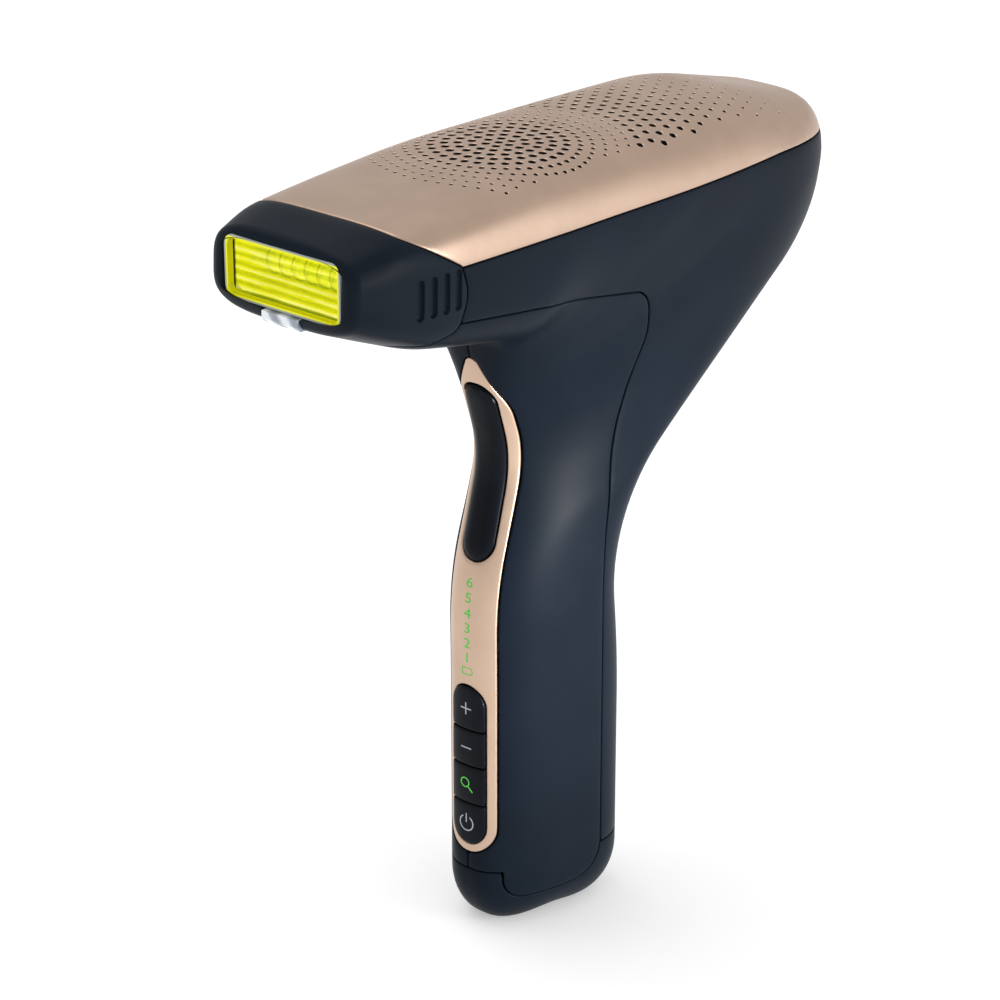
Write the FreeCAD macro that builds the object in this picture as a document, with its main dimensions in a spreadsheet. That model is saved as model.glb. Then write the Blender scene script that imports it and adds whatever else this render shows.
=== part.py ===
"""Hand-held IPL hair remover with a perforated top cover, built as a parametric document.

Frame: +Z up, origin at the centre of the flat rest face under the handle, light window facing -Y,
+X to the right hand of someone who looks along +Y. Lengths are in millimetres.

The outer form is one smooth skin carried along two rails in the YZ plane. The outer rail runs over the
top, round the rear and down the back of the handle. The inner rail runs under the head, round the neck
and down the front of the handle. Every casing piece is a region of that skin with a wall's thickness.
"""
import FreeCAD, Part
import math
import os
import re
from FreeCAD import Placement, Rotation, Vector

doc = FreeCAD.newDocument("ipl_hair_remover")
sheet = doc.addObject("Spreadsheet::Sheet", "Sizes")

# Driving dimensions: name, value, meaning. Lengths in mm, angles in degrees.
SIZES = [
    ("head_front", 78.0, "reach of the light face in front of the handle's centre"),
    ("head_rear", 92.0, "reach of the head behind the handle's centre"),
    ("head_top", 188.7, "height of the top cover"),
    ("head_width", 54.0, "width of the head"),
    ("grip_depth", 42.6, "depth of the handle, front to back"),
    ("grip_width", 37.2, "width of the handle"),
    ("wall", 2.0, "casing wall"),
    ("seam", 0.3, "gap between two casing pieces"),
    ("window_width", 31.2, "light window, across"),
    ("window_height", 12.1, "light window, up"),
    ("window_drop", 13.7, "depth of the window's centre under the top"),
    ("glass_thick", 2.0, "filter glass"),
    ("seal_width", 0.8, "rubber ring round the glass"),
    ("nose_wall", 1.0, "wall of the lamp nose"),
    ("slip", 0.4, "free gap round a piece that slides or tilts"),
    ("lamp_diameter", 4.4, "flash tube"),
    ("lamp_length", 32.2, "flash tube, over the glass"),
    ("strip_width", 14.0, "front strip"),
    ("key_width", 9.4, "keys and trigger, across"),
    ("key_proud", 0.5, "how far the keys stand out of the strip"),
    ("key_travel", 0.6, "travel of a key"),
    ("trigger_travel", 1.8, "travel of the trigger's upper end"),
    ("pin_diameter", 2.0, "trigger pin"),
    ("pin_play", 0.05, "radial clearance of the trigger pin"),
    ("fan_size", 36.0, "side of the square fan frame"),
    ("fan_height", 9.0, "height of the fan frame"),
    ("shaft_diameter", 2.0, "fan shaft"),
    ("shaft_play", 0.04, "radial clearance of the fan shaft"),
    ("cell_diameter", 18.3, "battery cell"),
    ("cell_length", 50.0, "battery cell, along its axis"),
    ("cap_diameter", 20.0, "flash capacitor"),
    ("cap_length", 44.0, "flash capacitor, along its axis"),
    ("board_thick", 1.6, "circuit boards"),
    ("base_level", 15.6, "height of the seam above the bottom cap"),
]
for row, (name, value, meaning) in enumerate(SIZES, start=1):
    sheet.set("A%d" % row, meaning)
    sheet.set("B%d" % row, str(value))
    sheet.setAlias("B%d" % row, name)
doc.recompute()

ALIASES = re.compile(r"\b(%s)\b" % "|".join(name for name, _, _ in SIZES))


def size(name):
    """A driving dimension as a plain number."""
    return float(sheet.get(name))


def bind(thing, **expressions):
    """Binds properties to expressions on the sheet's names; x, y and z stand for the placement's base."""
    for key, text in expressions.items():
        path = "Placement.Base." + key if key in ("x", "y", "z") else key
        thing.setExpression(path, ALIASES.sub(r"Sizes.\1", str(text)))
    return thing


def box(label, x, y, z, length, width, height):
    """A box centred on x and y that stands on z."""
    part = doc.addObject("Part::Box", label)
    part.Label = label
    bind(part, Length=length, Width=width, Height=height,
         x="%s - (%s) / 2" % (x, length), y="%s - (%s) / 2" % (y, width), z=z)
    return part


def rod(label, x, y, z, radius, length, axis="z"):
    """A cylinder that starts at x, y, z and runs along an axis."""
    part = doc.addObject("Part::Cylinder", label)
    part.Label = label
    turns = {"x": Rotation(Vector(0, 1, 0), 90), "y": Rotation(Vector(1, 0, 0), -90), "z": Rotation()}
    part.Placement = Placement(Vector(0, 0, 0), turns[axis])
    bind(part, Radius=radius, Height=length, x=x, y=y, z=z)
    return part


def joined(label, *pieces):
    """One solid from several that meet."""
    part = doc.addObject("Part::MultiFuse", label)
    part.Label = label
    part.Shapes = list(pieces)
    return part


def shared(label, first, second):
    """What two solids share."""
    part = doc.addObject("Part::MultiCommon", label)
    part.Label = label
    part.Shapes = [first, second]
    return part


def cut(label, base, *tools):
    """A solid less some others."""
    tool = tools[0] if len(tools) == 1 else joined(label + "_tools", *tools)
    part = doc.addObject("Part::Cut", label)
    part.Label = label
    part.Base = base
    part.Tool = tool
    return part


def feature(label, shape):
    """A shape that no parametric feature makes, as an object of the document."""
    part = doc.addObject("Part::Feature", label)
    part.Label = label
    part.Shape = shape
    return part


def group(label, shapes):
    """Separate solids under one name."""
    part = doc.addObject("Part::Compound", label)
    part.Label = label
    part.Links = shapes
    return part


# ------------------------------------------------------------------ the outer form
FRONT = -size("head_front")
REAR = size("head_rear")
TOP = size("head_top")
GRIP_FRONT = -size("grip_depth") / 2 - 0.7
GRIP_REAR = size("grip_depth") / 2 - 0.7
CAP_TOP = size("base_level")
FORM_END = 13.0             # height where the handle starts to round into its foot
FOOT_RISE = 12.6            # rounding under the handle, upward
FOOT_REACH = 10.5           # rounding under the handle, sideways
FOOT_SWEEP = 75.0           # degrees of that rounding before the flat rest face


def rail(corners):
    """Straight runs joined by tangent arcs, from (y, z, radius) corners, as a wire in the YZ plane."""
    points = [Vector(0, y, z) for y, z, _ in corners]
    edges = []
    start = points[0]
    for before, corner, after, radius in zip(points, points[1:], points[2:],
                                             [radius for _, _, radius in corners[1:]]):
        back = (before - corner).normalize()
        ahead = (after - corner).normalize()
        half = back.getAngle(ahead) / 2
        first = corner + back * (radius / math.tan(half))
        last = corner + ahead * (radius / math.tan(half))
        middle = (back + ahead).normalize()
        crown = corner + middle * (radius / math.sin(half) - radius)
        edges.append(Part.LineSegment(start, first).toShape())
        edges.append(Part.Arc(first, crown, last).toShape())
        start = last
    edges.append(Part.LineSegment(start, points[-1]).toShape())
    return Part.Wire(edges)


OUTER_RAIL = rail([
    (FRONT, TOP - 4.9, 0), (FRONT + 11.5, TOP - 2.4, 40), (FRONT + 58, TOP + 0.3, 300),
    (REAR - 34, TOP - 0.3, 50), (REAR + 0.5, TOP - 8.7, 13), (REAR - 1, TOP - 32.7, 20),
    (GRIP_REAR - 4.6, 101, 45), (GRIP_REAR, 62, 200), (GRIP_REAR, FORM_END, 0)])
INNER_RAIL = rail([
    (FRONT - 1, TOP - 22.7, 0), (FRONT + 20, TOP - 31.2, 40), (GRIP_FRONT - 0.5, TOP - 39.2, 5.5),
    (GRIP_FRONT + 7.8, 116, 28), (GRIP_FRONT, 85, 75), (GRIP_FRONT, FORM_END, 0)])

HALF_HEAD = size("head_width") / 2
HALF_GRIP = size("grip_width") / 2
# Stations: outer rail (y, z), inner rail (y, z), half width at the inner end and at the outer end,
# squareness of the section and how fast the width grows from the inner end.
STATIONS = [
    ((FRONT, TOP - 4.9), (FRONT - 1, TOP - 22.7), HALF_HEAD - 6.7, HALF_HEAD - 6.7, 3.6, 1.0),
    ((FRONT + 12, TOP - 2.7), (FRONT + 12, TOP - 27.7), HALF_HEAD - 3.7, HALF_HEAD - 3.4, 4.0, 1.0),
    ((FRONT + 28, TOP - 1.7), (FRONT + 28, TOP - 32.7), HALF_HEAD - 2.4, HALF_HEAD - 1.6, 4.0, 1.0),
    ((FRONT + 64, TOP + 0.3), (FRONT + 51, TOP - 38.1), HALF_HEAD - 3.0, HALF_HEAD - 0.2, 3.8, 1.2),
    ((REAR - 52, TOP - 0.1), (GRIP_FRONT + 1.2, TOP - 45.2), 15.5, HALF_HEAD + 0.3, 3.4, 2.2),
    ((REAR - 2, TOP - 14.7), (GRIP_FRONT + 4.5, TOP - 58.7), 13.0, HALF_HEAD - 2.0, 3.0, 2.2),
    ((REAR - 8, TOP - 40.7), (GRIP_FRONT + 6.4, 119), 12.2, HALF_HEAD - 4.5, 2.7, 2.0),
    ((GRIP_REAR + 19.4, 112), (GRIP_FRONT + 4.0, 99), 11.4, HALF_GRIP + 1.4, 2.6, 1.2),
    ((GRIP_REAR - 0.3, 77), (GRIP_FRONT + 0.1, 77), 11.2, HALF_GRIP, 2.6, 1.0),
    ((GRIP_REAR, FORM_END), (GRIP_FRONT, FORM_END), 11.2, HALF_GRIP, 2.6, 1.0),
]
RAIL_STEP = 0.5             # spacing of the points that a rail is read at
OUTER_POINTS = OUTER_RAIL.discretize(Distance=RAIL_STEP)
INNER_POINTS = INNER_RAIL.discretize(Distance=RAIL_STEP)


def share_along(points, place):
    """How far along a rail, from 0 to 1, the point nearest to a (y, z) place is."""
    target = Vector(0, place[0], place[1])
    nearest = min(range(len(points)), key=lambda index: points[index].distanceToPoint(target))
    return nearest / (len(points) - 1.0)


def at_share(points, share):
    """The point of a rail at a share of its length."""
    place = min(max(share, 0.0), 1.0) * (len(points) - 1)
    index = min(int(place), len(points) - 2)
    return points[index] + (points[index + 1] - points[index]) * (place - index)


def flowing(values):
    """A smooth function through evenly spaced values that never overshoots them."""
    steps = [after - before for before, after in zip(values, values[1:])]
    slopes = [steps[0]]
    for before, after in zip(steps, steps[1:]):
        slopes.append(0.0 if before * after <= 0 else 2 * before * after / (before + after))
    slopes.append(steps[-1])

    def value(share):
        place = min(max(share, 0.0), 1.0) * (len(values) - 1)
        index = min(int(place), len(values) - 2)
        t = place - index
        return ((1 + 2 * t) * (1 - t) ** 2 * values[index] + t * (1 - t) ** 2 * slopes[index]
                + t * t * (3 - 2 * t) * values[index + 1] + t * t * (t - 1) * slopes[index + 1])
    return value


OUTER_SHARE = flowing([share_along(OUTER_POINTS, station[0]) for station in STATIONS])
INNER_SHARE = flowing([share_along(INNER_POINTS, station[1]) for station in STATIONS])
INNER_WIDTH, OUTER_WIDTH, SQUARENESS, GROWTH = (
    flowing([station[column] for station in STATIONS]) for column in (2, 3, 4, 5))


def skin(share, turn):
    """A point of the right half of the skin.

    share runs from the light face (0) to the foot's rounding (1) and round it to the rest face (2).
    turn runs from the inner rail (0) to the outer rail (pi). A section is a superellipse whose width
    changes from the inner end to the outer end.
    """
    main = min(share, 1.0)
    inner = at_share(INNER_POINTS, INNER_SHARE(main))
    outer = at_share(OUTER_POINTS, OUTER_SHARE(main))
    power = 2.0 / SQUARENESS(main)
    cosine = math.cos(turn)
    across = abs(math.sin(turn)) ** power
    along = (1 - math.copysign(abs(cosine) ** power, cosine)) / 2
    width = INNER_WIDTH(main) + (OUTER_WIDTH(main) - INNER_WIDTH(main)) * (1 - (1 - along) ** GROWTH(main))
    point = inner + (outer - inner) * along + Vector(width * across, 0, 0)
    if share > 1.0:
        angle = math.radians(FOOT_SWEEP) * (share - 1.0)
        centre = Vector(0, (GRIP_FRONT + GRIP_REAR) / 2, FORM_END)
        radius = (point - centre).Length
        shrink = (radius - FOOT_REACH * (1 - math.cos(angle))) / radius
        drop = FORM_END * math.sin(angle) / math.sin(math.radians(FOOT_SWEEP))
        point = centre + (point - centre) * shrink - Vector(0, 0, drop)
    return point


TURNS = [math.pi * step / 14 for step in range(15)]
SHARES = [step / 36.0 for step in range(37)] + [1 + step / 6.0 for step in range(1, 7)]
NUDGE = 1e-3


def inset_point(share, turn, inset):
    """A skin point moved inwards along the skin's normal, and kept in the end planes at both ends."""
    low = max(share - NUDGE, 0.0)
    high = min(share + NUDGE, 2.0)
    near = min(max(turn, 0.02), math.pi - 0.02)
    along = skin(high, near) - skin(low, near)
    around = skin(share, near + NUDGE) - skin(share, near - NUDGE)
    normal = around.cross(along).normalize()
    if turn in (TURNS[0], TURNS[-1]):
        normal.x = 0.0
        normal.normalize()
    point = skin(share, turn)
    if share == SHARES[-1]:
        normal.z = 0.0
        return point + normal * inset + Vector(0, 0, max(inset, 0.0))
    if share == 0.0:
        face = (skin(0.0, math.pi) - skin(0.0, 0.0)).cross(Vector(1, 0, 0)).normalize()
        normal = normal - face * normal.dot(face)
        return point + normal * inset
    if share > 1.0 and inset > 0:
        point.z = point.z * (FORM_END - inset) / FORM_END + inset
        normal.z = 0.0
    return point + normal * inset


def skin_solid(inset):
    """The solid inside the skin moved inwards by inset."""
    grid = [[inset_point(share, turn, inset) for turn in TURNS] for share in SHARES]
    for line in grid:
        line[0].x = 0.0
        line[-1].x = 0.0
    surface = Part.BSplineSurface()
    surface.interpolate(grid)
    right = surface.toShape()
    left = right.mirror(Vector(0, 0, 0), Vector(1, 0, 0))
    ends = []
    for line in (grid[0], grid[-1]):
        edges = [edge for half in (right, left) for edge in half.Edges
                 if all(vertex.Point.distanceToPoint(line[index]) < 1e-4 or
                        vertex.Point.distanceToPoint(line[-1 - index]) < 1e-4
                        for index, vertex in zip((0, -1), edge.Vertexes))]
        ends.append(Part.Face(Part.Wire(Part.__sortEdges__(edges))))
    shell = Part.Shell([right, left] + ends)
    shell.sewShape()
    solid = Part.Solid(shell)
    solid.fix(1e-4, 1e-4, 1e-3)
    if solid.Volume < 0:
        solid.reverse()
    return solid


def closed_outline(corners):
    """A closed outline in a plane from (u, v, radius) corners, as a list of edges in the XY plane."""
    points = [Vector(u, v, 0) for u, v, _ in corners]
    edges = []
    spans = []
    for index, (point, (_, _, radius)) in enumerate(zip(points, corners)):
        back = (points[index - 1] - point).normalize()
        ahead = (points[(index + 1) % len(points)] - point).normalize()
        half = back.getAngle(ahead) / 2
        reach = radius / math.tan(half) if radius else 0.0
        crown = point
        if radius:
            crown = point + (back + ahead).normalize() * (radius / math.sin(half) - radius)
        spans.append((point + back * reach, crown, point + ahead * reach))
    for index, (first, crown, last) in enumerate(spans):
        if corners[index][2]:
            edges.append(Part.Arc(first, crown, last).toShape())
        following = spans[(index + 1) % len(spans)][0]
        if following.distanceToPoint(last) > 1e-6:
            edges.append(Part.LineSegment(last, following).toShape())
    return Part.Wire(edges)


FAR = 120.0                 # reach of a tool that has to pass every wall


def side_region(corners, grown=0.0):
    """A prism across X whose (y, z) outline has rounded corners, grown by a gap."""
    wire = closed_outline(corners)
    if grown:
        wire = wire.makeOffset2D(grown)
    prism = Part.Face(wire).extrude(Vector(0, 0, 2 * FAR))
    prism.translate(Vector(0, 0, -FAR))
    return prism.transformGeometry(Placement(Vector(), Rotation(Vector(1, 1, 1), 120)).toMatrix())


def front_region(corners, near, far, grown=0.0):
    """A prism along Y, from near to far, whose (x, z) outline has rounded corners."""
    wire = closed_outline(corners)
    if grown:
        wire = wire.makeOffset2D(grown)
    prism = Part.Face(wire).extrude(Vector(0, 0, near - far))
    prism.rotate(Vector(), Vector(1, 0, 0), 90)
    prism.translate(Vector(0, near, 0))
    return prism


# ------------------------------------------------------------------ casing regions, seen from the side
SEAM = size("seam")
NECK_REAR = GRIP_REAR - 13.2
ATTACHMENT_SIDE = [
    (FRONT - 15, TOP + 15, 0), (FRONT + 11.5, TOP + 15, 0), (FRONT + 11.5, TOP - 2.6, 5),
    (FRONT + 27, TOP - 12.3, 1.5), (FRONT + 29, TOP - 18.5, 8), (FRONT + 26.5, TOP - 26, 4),
    (FRONT + 20, TOP - 28.3, 8), (FRONT + 10, TOP - 27.1, 4), (FRONT + 6, TOP - 36, 0),
    (FRONT - 15, TOP - 36, 0)]
COVER_SIDE = [
    (FRONT + 5, TOP + 15, 0), (FRONT + 5, TOP - 2.6, 0), (FRONT + 11.5, TOP - 2.6, 3),
    (FRONT + 27, TOP - 12.3, 2), (REAR - 32, TOP - 13.8, 150), (REAR + 10, TOP - 15.7, 0),
    (REAR + 10, TOP + 15, 0)]
GRIP_SIDE = [
    (FRONT - 15, CAP_TOP, 0), (FRONT - 15, TOP - 23.5, 0), (FRONT + 28, TOP - 25, 0),
    (FRONT + 52, TOP - 28.3, 60), (2, TOP - 33.7, 60), (14, TOP - 37.4, 5), (16.6, TOP - 44.7, 8),
    (9.6, 118, 60), (NECK_REAR, 95, 60), (NECK_REAR, 8.3, 9), (GRIP_FRONT + 3.5, 8.3, 5),
    (GRIP_FRONT + 3.5, CAP_TOP, 0)]
FOOT_SIDE = [(-FAR, -5, 0), (-FAR, CAP_TOP, 0), (FAR, CAP_TOP, 0), (FAR, -5, 0)]

outside = feature("casing_outside", skin_solid(0.0))
hollow = feature("casing_hollow", skin_solid(size("wall")))
proud = feature("keys_outside", skin_solid(-size("key_proud")))
lining = feature("strip_underside", skin_solid(1.4))

FACE_TILT = math.degrees(math.atan2(1.0, 17.8))
FACE_PLATE = 1.6
face_slab = doc.addObject("Part::Box", "face_slab")
face_slab.Label = "face_slab"
bind(face_slab, Length="80", Width="20", Height="80")
face_slab.Placement = Placement(Vector(-40, FRONT - 0.5 + FACE_PLATE - 20, TOP - 14.3 - 40),
                                Rotation(Vector(1, 0, 0), -FACE_TILT), Vector(40, 20, 40))
hollow_body = cut("casing_space", hollow, face_slab)
wall = cut("casing_wall", outside, hollow_body)

attachment_region = feature("attachment_region", side_region(ATTACHMENT_SIDE))
attachment_room = feature("attachment_room", side_region(ATTACHMENT_SIDE, SEAM))
cover_region = feature("cover_region", side_region(COVER_SIDE))
cover_room = feature("cover_room", side_region(COVER_SIDE, SEAM))
grip_region = feature("grip_region", side_region(GRIP_SIDE))
grip_room = feature("grip_room", side_region(GRIP_SIDE, SEAM))
foot_region = feature("foot_region", side_region(FOOT_SIDE))
foot_room = feature("foot_room", side_region(FOOT_SIDE, SEAM))

# ------------------------------------------------------------------ front strip, trigger and keys
HALF_STRIP = size("strip_width") / 2
HALF_KEY = size("key_width") / 2
STRIP_FOOT = 19.9
STRIP_NECK = 131.0
STRIP_TIP = TOP - 44.5
KEY_GAP = 0.25
KEY_FLOOR = -18.2           # back of the keys' caps
STEM_END = KEY_FLOOR + 2.0
PAD = [22.2, 32.8, 42.5, 51.7, 62.6]
TRIGGER_FOOT, TRIGGER_TIP = 93.2, 134.8
STRIP_FRONT = [
    (-HALF_STRIP, STRIP_FOOT, HALF_STRIP - 0.01), (HALF_STRIP, STRIP_FOOT, HALF_STRIP - 0.01),
    (HALF_STRIP, STRIP_NECK, 12), (0, STRIP_TIP, 2), (-HALF_STRIP, STRIP_NECK, 12)]
TRIGGER_ROUND = HALF_KEY - 0.6


def trigger_outline(rise=0.0):
    """The trigger's (x, z) outline, its upper end raised by what it swings up by on its pin."""
    return [(-HALF_KEY, TRIGGER_FOOT, HALF_KEY - 0.01), (HALF_KEY, TRIGGER_FOOT, HALF_KEY - 0.01),
            (HALF_KEY, TRIGGER_TIP + rise, TRIGGER_ROUND), (-HALF_KEY, TRIGGER_TIP + rise, TRIGGER_ROUND)]


PIN_LEVEL, PIN_PLACE = TRIGGER_FOOT + 4.0, GRIP_FRONT + 9.8
TRIGGER_RISE = size("trigger_travel") * (PIN_PLACE - GRIP_FRONT) / (TRIGGER_TIP - PIN_LEVEL)
PAD_FRONT = [
    (-HALF_KEY, PAD[0], HALF_KEY - 0.01), (HALF_KEY, PAD[0], HALF_KEY - 0.01),
    (HALF_KEY, PAD[-1], HALF_KEY - 0.01), (-HALF_KEY, PAD[-1], HALF_KEY - 0.01)]

strip_room = feature("strip_room", front_region(STRIP_FRONT, -FAR, -4, SEAM))
strip_blank = shared("strip_blank", feature("strip_region", front_region(STRIP_FRONT, -FAR, -4)),
                     cut("strip_skin", outside, lining))
strip = cut("front_strip", strip_blank,
            feature("trigger_room", front_region(trigger_outline(TRIGGER_RISE), -FAR, 0, KEY_GAP)),
            feature("pad_room", front_region(PAD_FRONT, -FAR, 0, KEY_GAP)))

KEYS = ["power_key", "skin_test_key", "minus_key", "plus_key"]
key_pad = shared("key_pad", proud, feature("pad_region", front_region(PAD_FRONT, -FAR, KEY_FLOOR)))
keys = []
for name, low, high in zip(KEYS, PAD, PAD[1:]):
    band = box(name + "_band", "0", "0", "%g + seam / 2" % low, "40", "80", "%g - seam" % (high - low))
    stem = rod(name + "_stem", "0", "%g" % (KEY_FLOOR - 0.5), "%g" % ((low + high) / 2), "1.6", "2.5", "y")
    keys.append(joined(name, shared(name + "_cap", key_pad, band), stem))

# ------------------------------------------------------------------ lamp nose, glass, lamp and sensor
LEVEL = "(head_top - window_drop)"
WINDOW_LEVEL = TOP - size("window_drop")
GLASS_FACE = FRONT
WINDOW_ROUND = 1.8
FLANGE_FRONT, FLANGE_THICK = FRONT + 32.0, 2.0
LAMP_PLACE = FRONT + 8.5
TALL = "(window_height + 2 * seal_width)"


def bar(label, front, back, length, height, level=LEVEL, x="0"):
    """A box that runs along Y from front to back, centred on x and on a level."""
    part = doc.addObject("Part::Box", label)
    part.Label = label
    return bind(part, Length=length, Width="(%s) - (%s)" % (back, front), Height=height,
                x="%s - (%s) / 2" % (x, length), y=front, z="%s - (%s) / 2" % (level, height))


def rounded_bar(label, front, back, grown):
    """A rounded bar along Y round the window's outline, grown by a margin."""
    wide = size("window_width") / 2 + grown
    tall = size("window_height") / 2 + grown
    level = WINDOW_LEVEL
    radius = WINDOW_ROUND + grown
    return feature(label, front_region([
        (-wide, level - tall, radius), (wide, level - tall, radius),
        (wide, level + tall, radius), (-wide, level + tall, radius)], front, back))


glass_back = GLASS_FACE + size("glass_thick")
tube_grown = size("seal_width")
glass = rounded_bar("filter_glass", GLASS_FACE, glass_back, 0.0)
seal = cut("window_seal", rounded_bar("seal_block", GLASS_FACE - 0.1, glass_back, tube_grown),
           rounded_bar("seal_hole", GLASS_FACE - 1, glass_back + 1, 0.0))
flange = shared("lamp_flange", feature("flange_form", skin_solid(size("wall") + 0.6)),
                bar("flange_slab", "%g" % FLANGE_FRONT, "%g" % (FLANGE_FRONT + FLANGE_THICK), "60", "60"))
nose_bore = rounded_bar("nose_bore", GLASS_FACE - 1, FLANGE_FRONT + 5, tube_grown - size("nose_wall"))
lamp_hole = rod("lamp_hole", "-30", "%g" % LAMP_PLACE, LEVEL, "lamp_diameter / 2 + slip", "60", "x")
nose_tube = rounded_bar("nose_tube", glass_back, FLANGE_FRONT + 0.5, tube_grown)
nose = cut("lamp_nose", joined("nose_blank", flange, nose_tube), nose_bore, lamp_hole)
reflector = cut("reflector",
                rounded_bar("reflector_block", LAMP_PLACE - 5.5, LAMP_PLACE + 7.5,
                            tube_grown - size("nose_wall") - size("slip") / 2),
                rod("reflector_trough", "-30", "%g" % LAMP_PLACE, LEVEL, "window_height / 2 - 0.9", "60", "x"),
                bar("reflector_mouth", "%g" % (LAMP_PLACE - 12), "%g" % LAMP_PLACE, "60",
                    "window_height - 1.8"))
lamp = rod("flash_lamp", "-lamp_length / 2", "%g" % LAMP_PLACE, LEVEL, "lamp_diameter / 2",
           "lamp_length", "x")
ELECTRODE = 3.4
electrodes = group("lamp_electrodes", [
    rod("left_electrode", "-lamp_length / 2 - %g" % ELECTRODE, "%g" % LAMP_PLACE, LEVEL, "1.3",
        "%g" % ELECTRODE, "x"),
    rod("right_electrode", "lamp_length / 2", "%g" % LAMP_PLACE, LEVEL, "1.3", "%g" % ELECTRODE, "x")])
HOLDER_SIDE = 5.0
holders = group("lamp_holders", [
    cut(side + "_holder",
        bar(side + "_holder_block", "%g" % (LAMP_PLACE - HOLDER_SIDE / 2), "%g" % (LAMP_PLACE + HOLDER_SIDE / 2),
            "2.6", "%g" % HOLDER_SIDE, x="%s(lamp_length / 2 + 1.8)" % sign),
        rod(side + "_holder_bore", "-40", "%g" % LAMP_PLACE, LEVEL, "1.3", "80", "x"))
    for side, sign in (("left", "-"), ("right", ""))])

WIRE_TURNS, WIRE_RADIUS, WIRE_REACH = 7, 0.16, 12.5
coil_radius = size("lamp_diameter") / 2 + WIRE_RADIUS + 0.15
helix = Part.makeHelix(2 * WIRE_REACH / WIRE_TURNS, 2 * WIRE_REACH, coil_radius)
section = Part.Wire(Part.makeCircle(WIRE_RADIUS, Vector(coil_radius, 0, 0), Vector(0, 1, 0)))
wire_shape = Part.Wire(helix).makePipeShell([section], True, True)
wire_shape.rotate(Vector(), Vector(0, 1, 0), 90)
trigger_wire = feature("trigger_wire", wire_shape)
trigger_wire.Placement = Placement(Vector(-WIRE_REACH, LAMP_PLACE, WINDOW_LEVEL),
                                   Rotation()).multiply(trigger_wire.Placement)

SENSOR_WIDTH, SENSOR_LEVEL = 10.4, TOP - 22.3
sensor_block = bar("sensor_block", "%g" % (FRONT - 3), "%g" % (FRONT + 5), "%g" % SENSOR_WIDTH, "2.6",
                   level="%g" % SENSOR_LEVEL)
sensor_window = shared("sensor_window", sensor_block, outside)
skin_sensor = box("skin_sensor", "0", "%g" % (FRONT + 12), LEVEL + " - %s / 2 - 2.0" % TALL,
                  "8", "6", "1.8")

# ------------------------------------------------------------------ casing pieces
attachment = cut("attachment_shell", shared("attachment_blank", wall, attachment_region),
                 rounded_bar("attachment_mouth", -FAR, FRONT + 10, tube_grown + size("slip")),
                 sensor_block)
cover = cut("top_cover", shared("cover_blank", wall, cover_region), attachment_room)
grips_blank = cut("grips_blank", shared("grips_wall", wall, grip_region), attachment_room, cover_room,
                  strip_room)
left_grip = shared("left_grip_shell", grips_blank,
                   box("left_half", "-30 - seam / 2", "0", "-10", "60", "240", "220"))
right_grip = shared("right_grip_shell", grips_blank,
                    box("right_half", "30 + seam / 2", "0", "-10", "60", "240", "220"))
SOCKET_WIDE, SOCKET_DEEP, SOCKET_TALL = 9.2, 3.4, 7.0
socket_hole = box("socket_hole", "0", "%g" % ((GRIP_FRONT + GRIP_REAR) / 2), "-5",
                  "%g + slip" % SOCKET_WIDE, "%g + slip" % SOCKET_DEEP, "12")
foot = cut("bottom_cap", shared("foot_blank", wall, foot_region), grip_room, strip_room, socket_hole)
rear = cut("rear_housing", wall, attachment_room, cover_room, grip_room, foot_room)

# ------------------------------------------------------------------ trigger on its pin
trigger_skin = shared("trigger_skin",
                      cut("trigger_layer", proud, feature("trigger_underside", skin_solid(2.2))),
                      feature("trigger_region", front_region(trigger_outline(), -FAR, -5)))
ear = box("trigger_ear", "0", "%g" % (PIN_PLACE - 1.2), "%g" % (PIN_LEVEL - 2.2), "4", "7", "4.4")
plunger = box("trigger_plunger", "0", "%g" % (GRIP_FRONT + 11.5), "121.5", "3", "5", "4")
trigger = cut("trigger", joined("trigger_blank", trigger_skin, ear, plunger),
              rod("pin_bore", "-10", "%g" % PIN_PLACE, "%g" % PIN_LEVEL, "pin_diameter / 2 + pin_play", "20", "x"))
pin = rod("trigger_pin", "-5.5", "%g" % PIN_PLACE, "%g" % PIN_LEVEL, "pin_diameter / 2", "11", "x")
pin_blocks = group("pin_blocks", [
    cut(side + "_pin_block",
        box(side + "_pin_post", x, "%g" % PIN_PLACE, "%g" % (PIN_LEVEL - 2.2), "2", "4.4", "4.4"),
        rod(side + "_pin_seat", "-10", "%g" % PIN_PLACE, "%g" % PIN_LEVEL, "pin_diameter / 2", "20", "x"))
    for side, x in (("left", "-3.7"), ("right", "3.7"))])
trigger_switch = box("trigger_switch", "0", "%g" % (GRIP_FRONT + 17.6), "120.2", "7", "4", "6.4")

# ------------------------------------------------------------------ boards, battery and socket in the handle
MAT_FRONT = STEM_END + size("key_travel") + 0.25
key_mat = box("key_mat", "0", "%g + 0.5" % MAT_FRONT, "21.5", "9", "1.0", "42")
control_board = box("control_board", "0", "%g + 1.1 + board_thick / 2" % MAT_FRONT, "19", "15", "board_thick", "72")
light_guide = cut("light_guide",
                  box("guide_block", "0", "%g" % (GRIP_FRONT + 5.6), "64.5", "6", "4", "26"),
                  box("guide_gap", "0", "%g" % (GRIP_FRONT + 7.7), "67.5", "4.4", "3", "20"))
CELL_PLACE = GRIP_REAR - 16.6
lower_cell = rod("lower_battery_cell", "0", "%g" % CELL_PLACE, "18", "cell_diameter / 2", "cell_length")
upper_cell = rod("upper_battery_cell", "0", "%g" % CELL_PLACE, "19.5 + cell_length", "cell_diameter / 2",
                 "cell_length")
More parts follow.
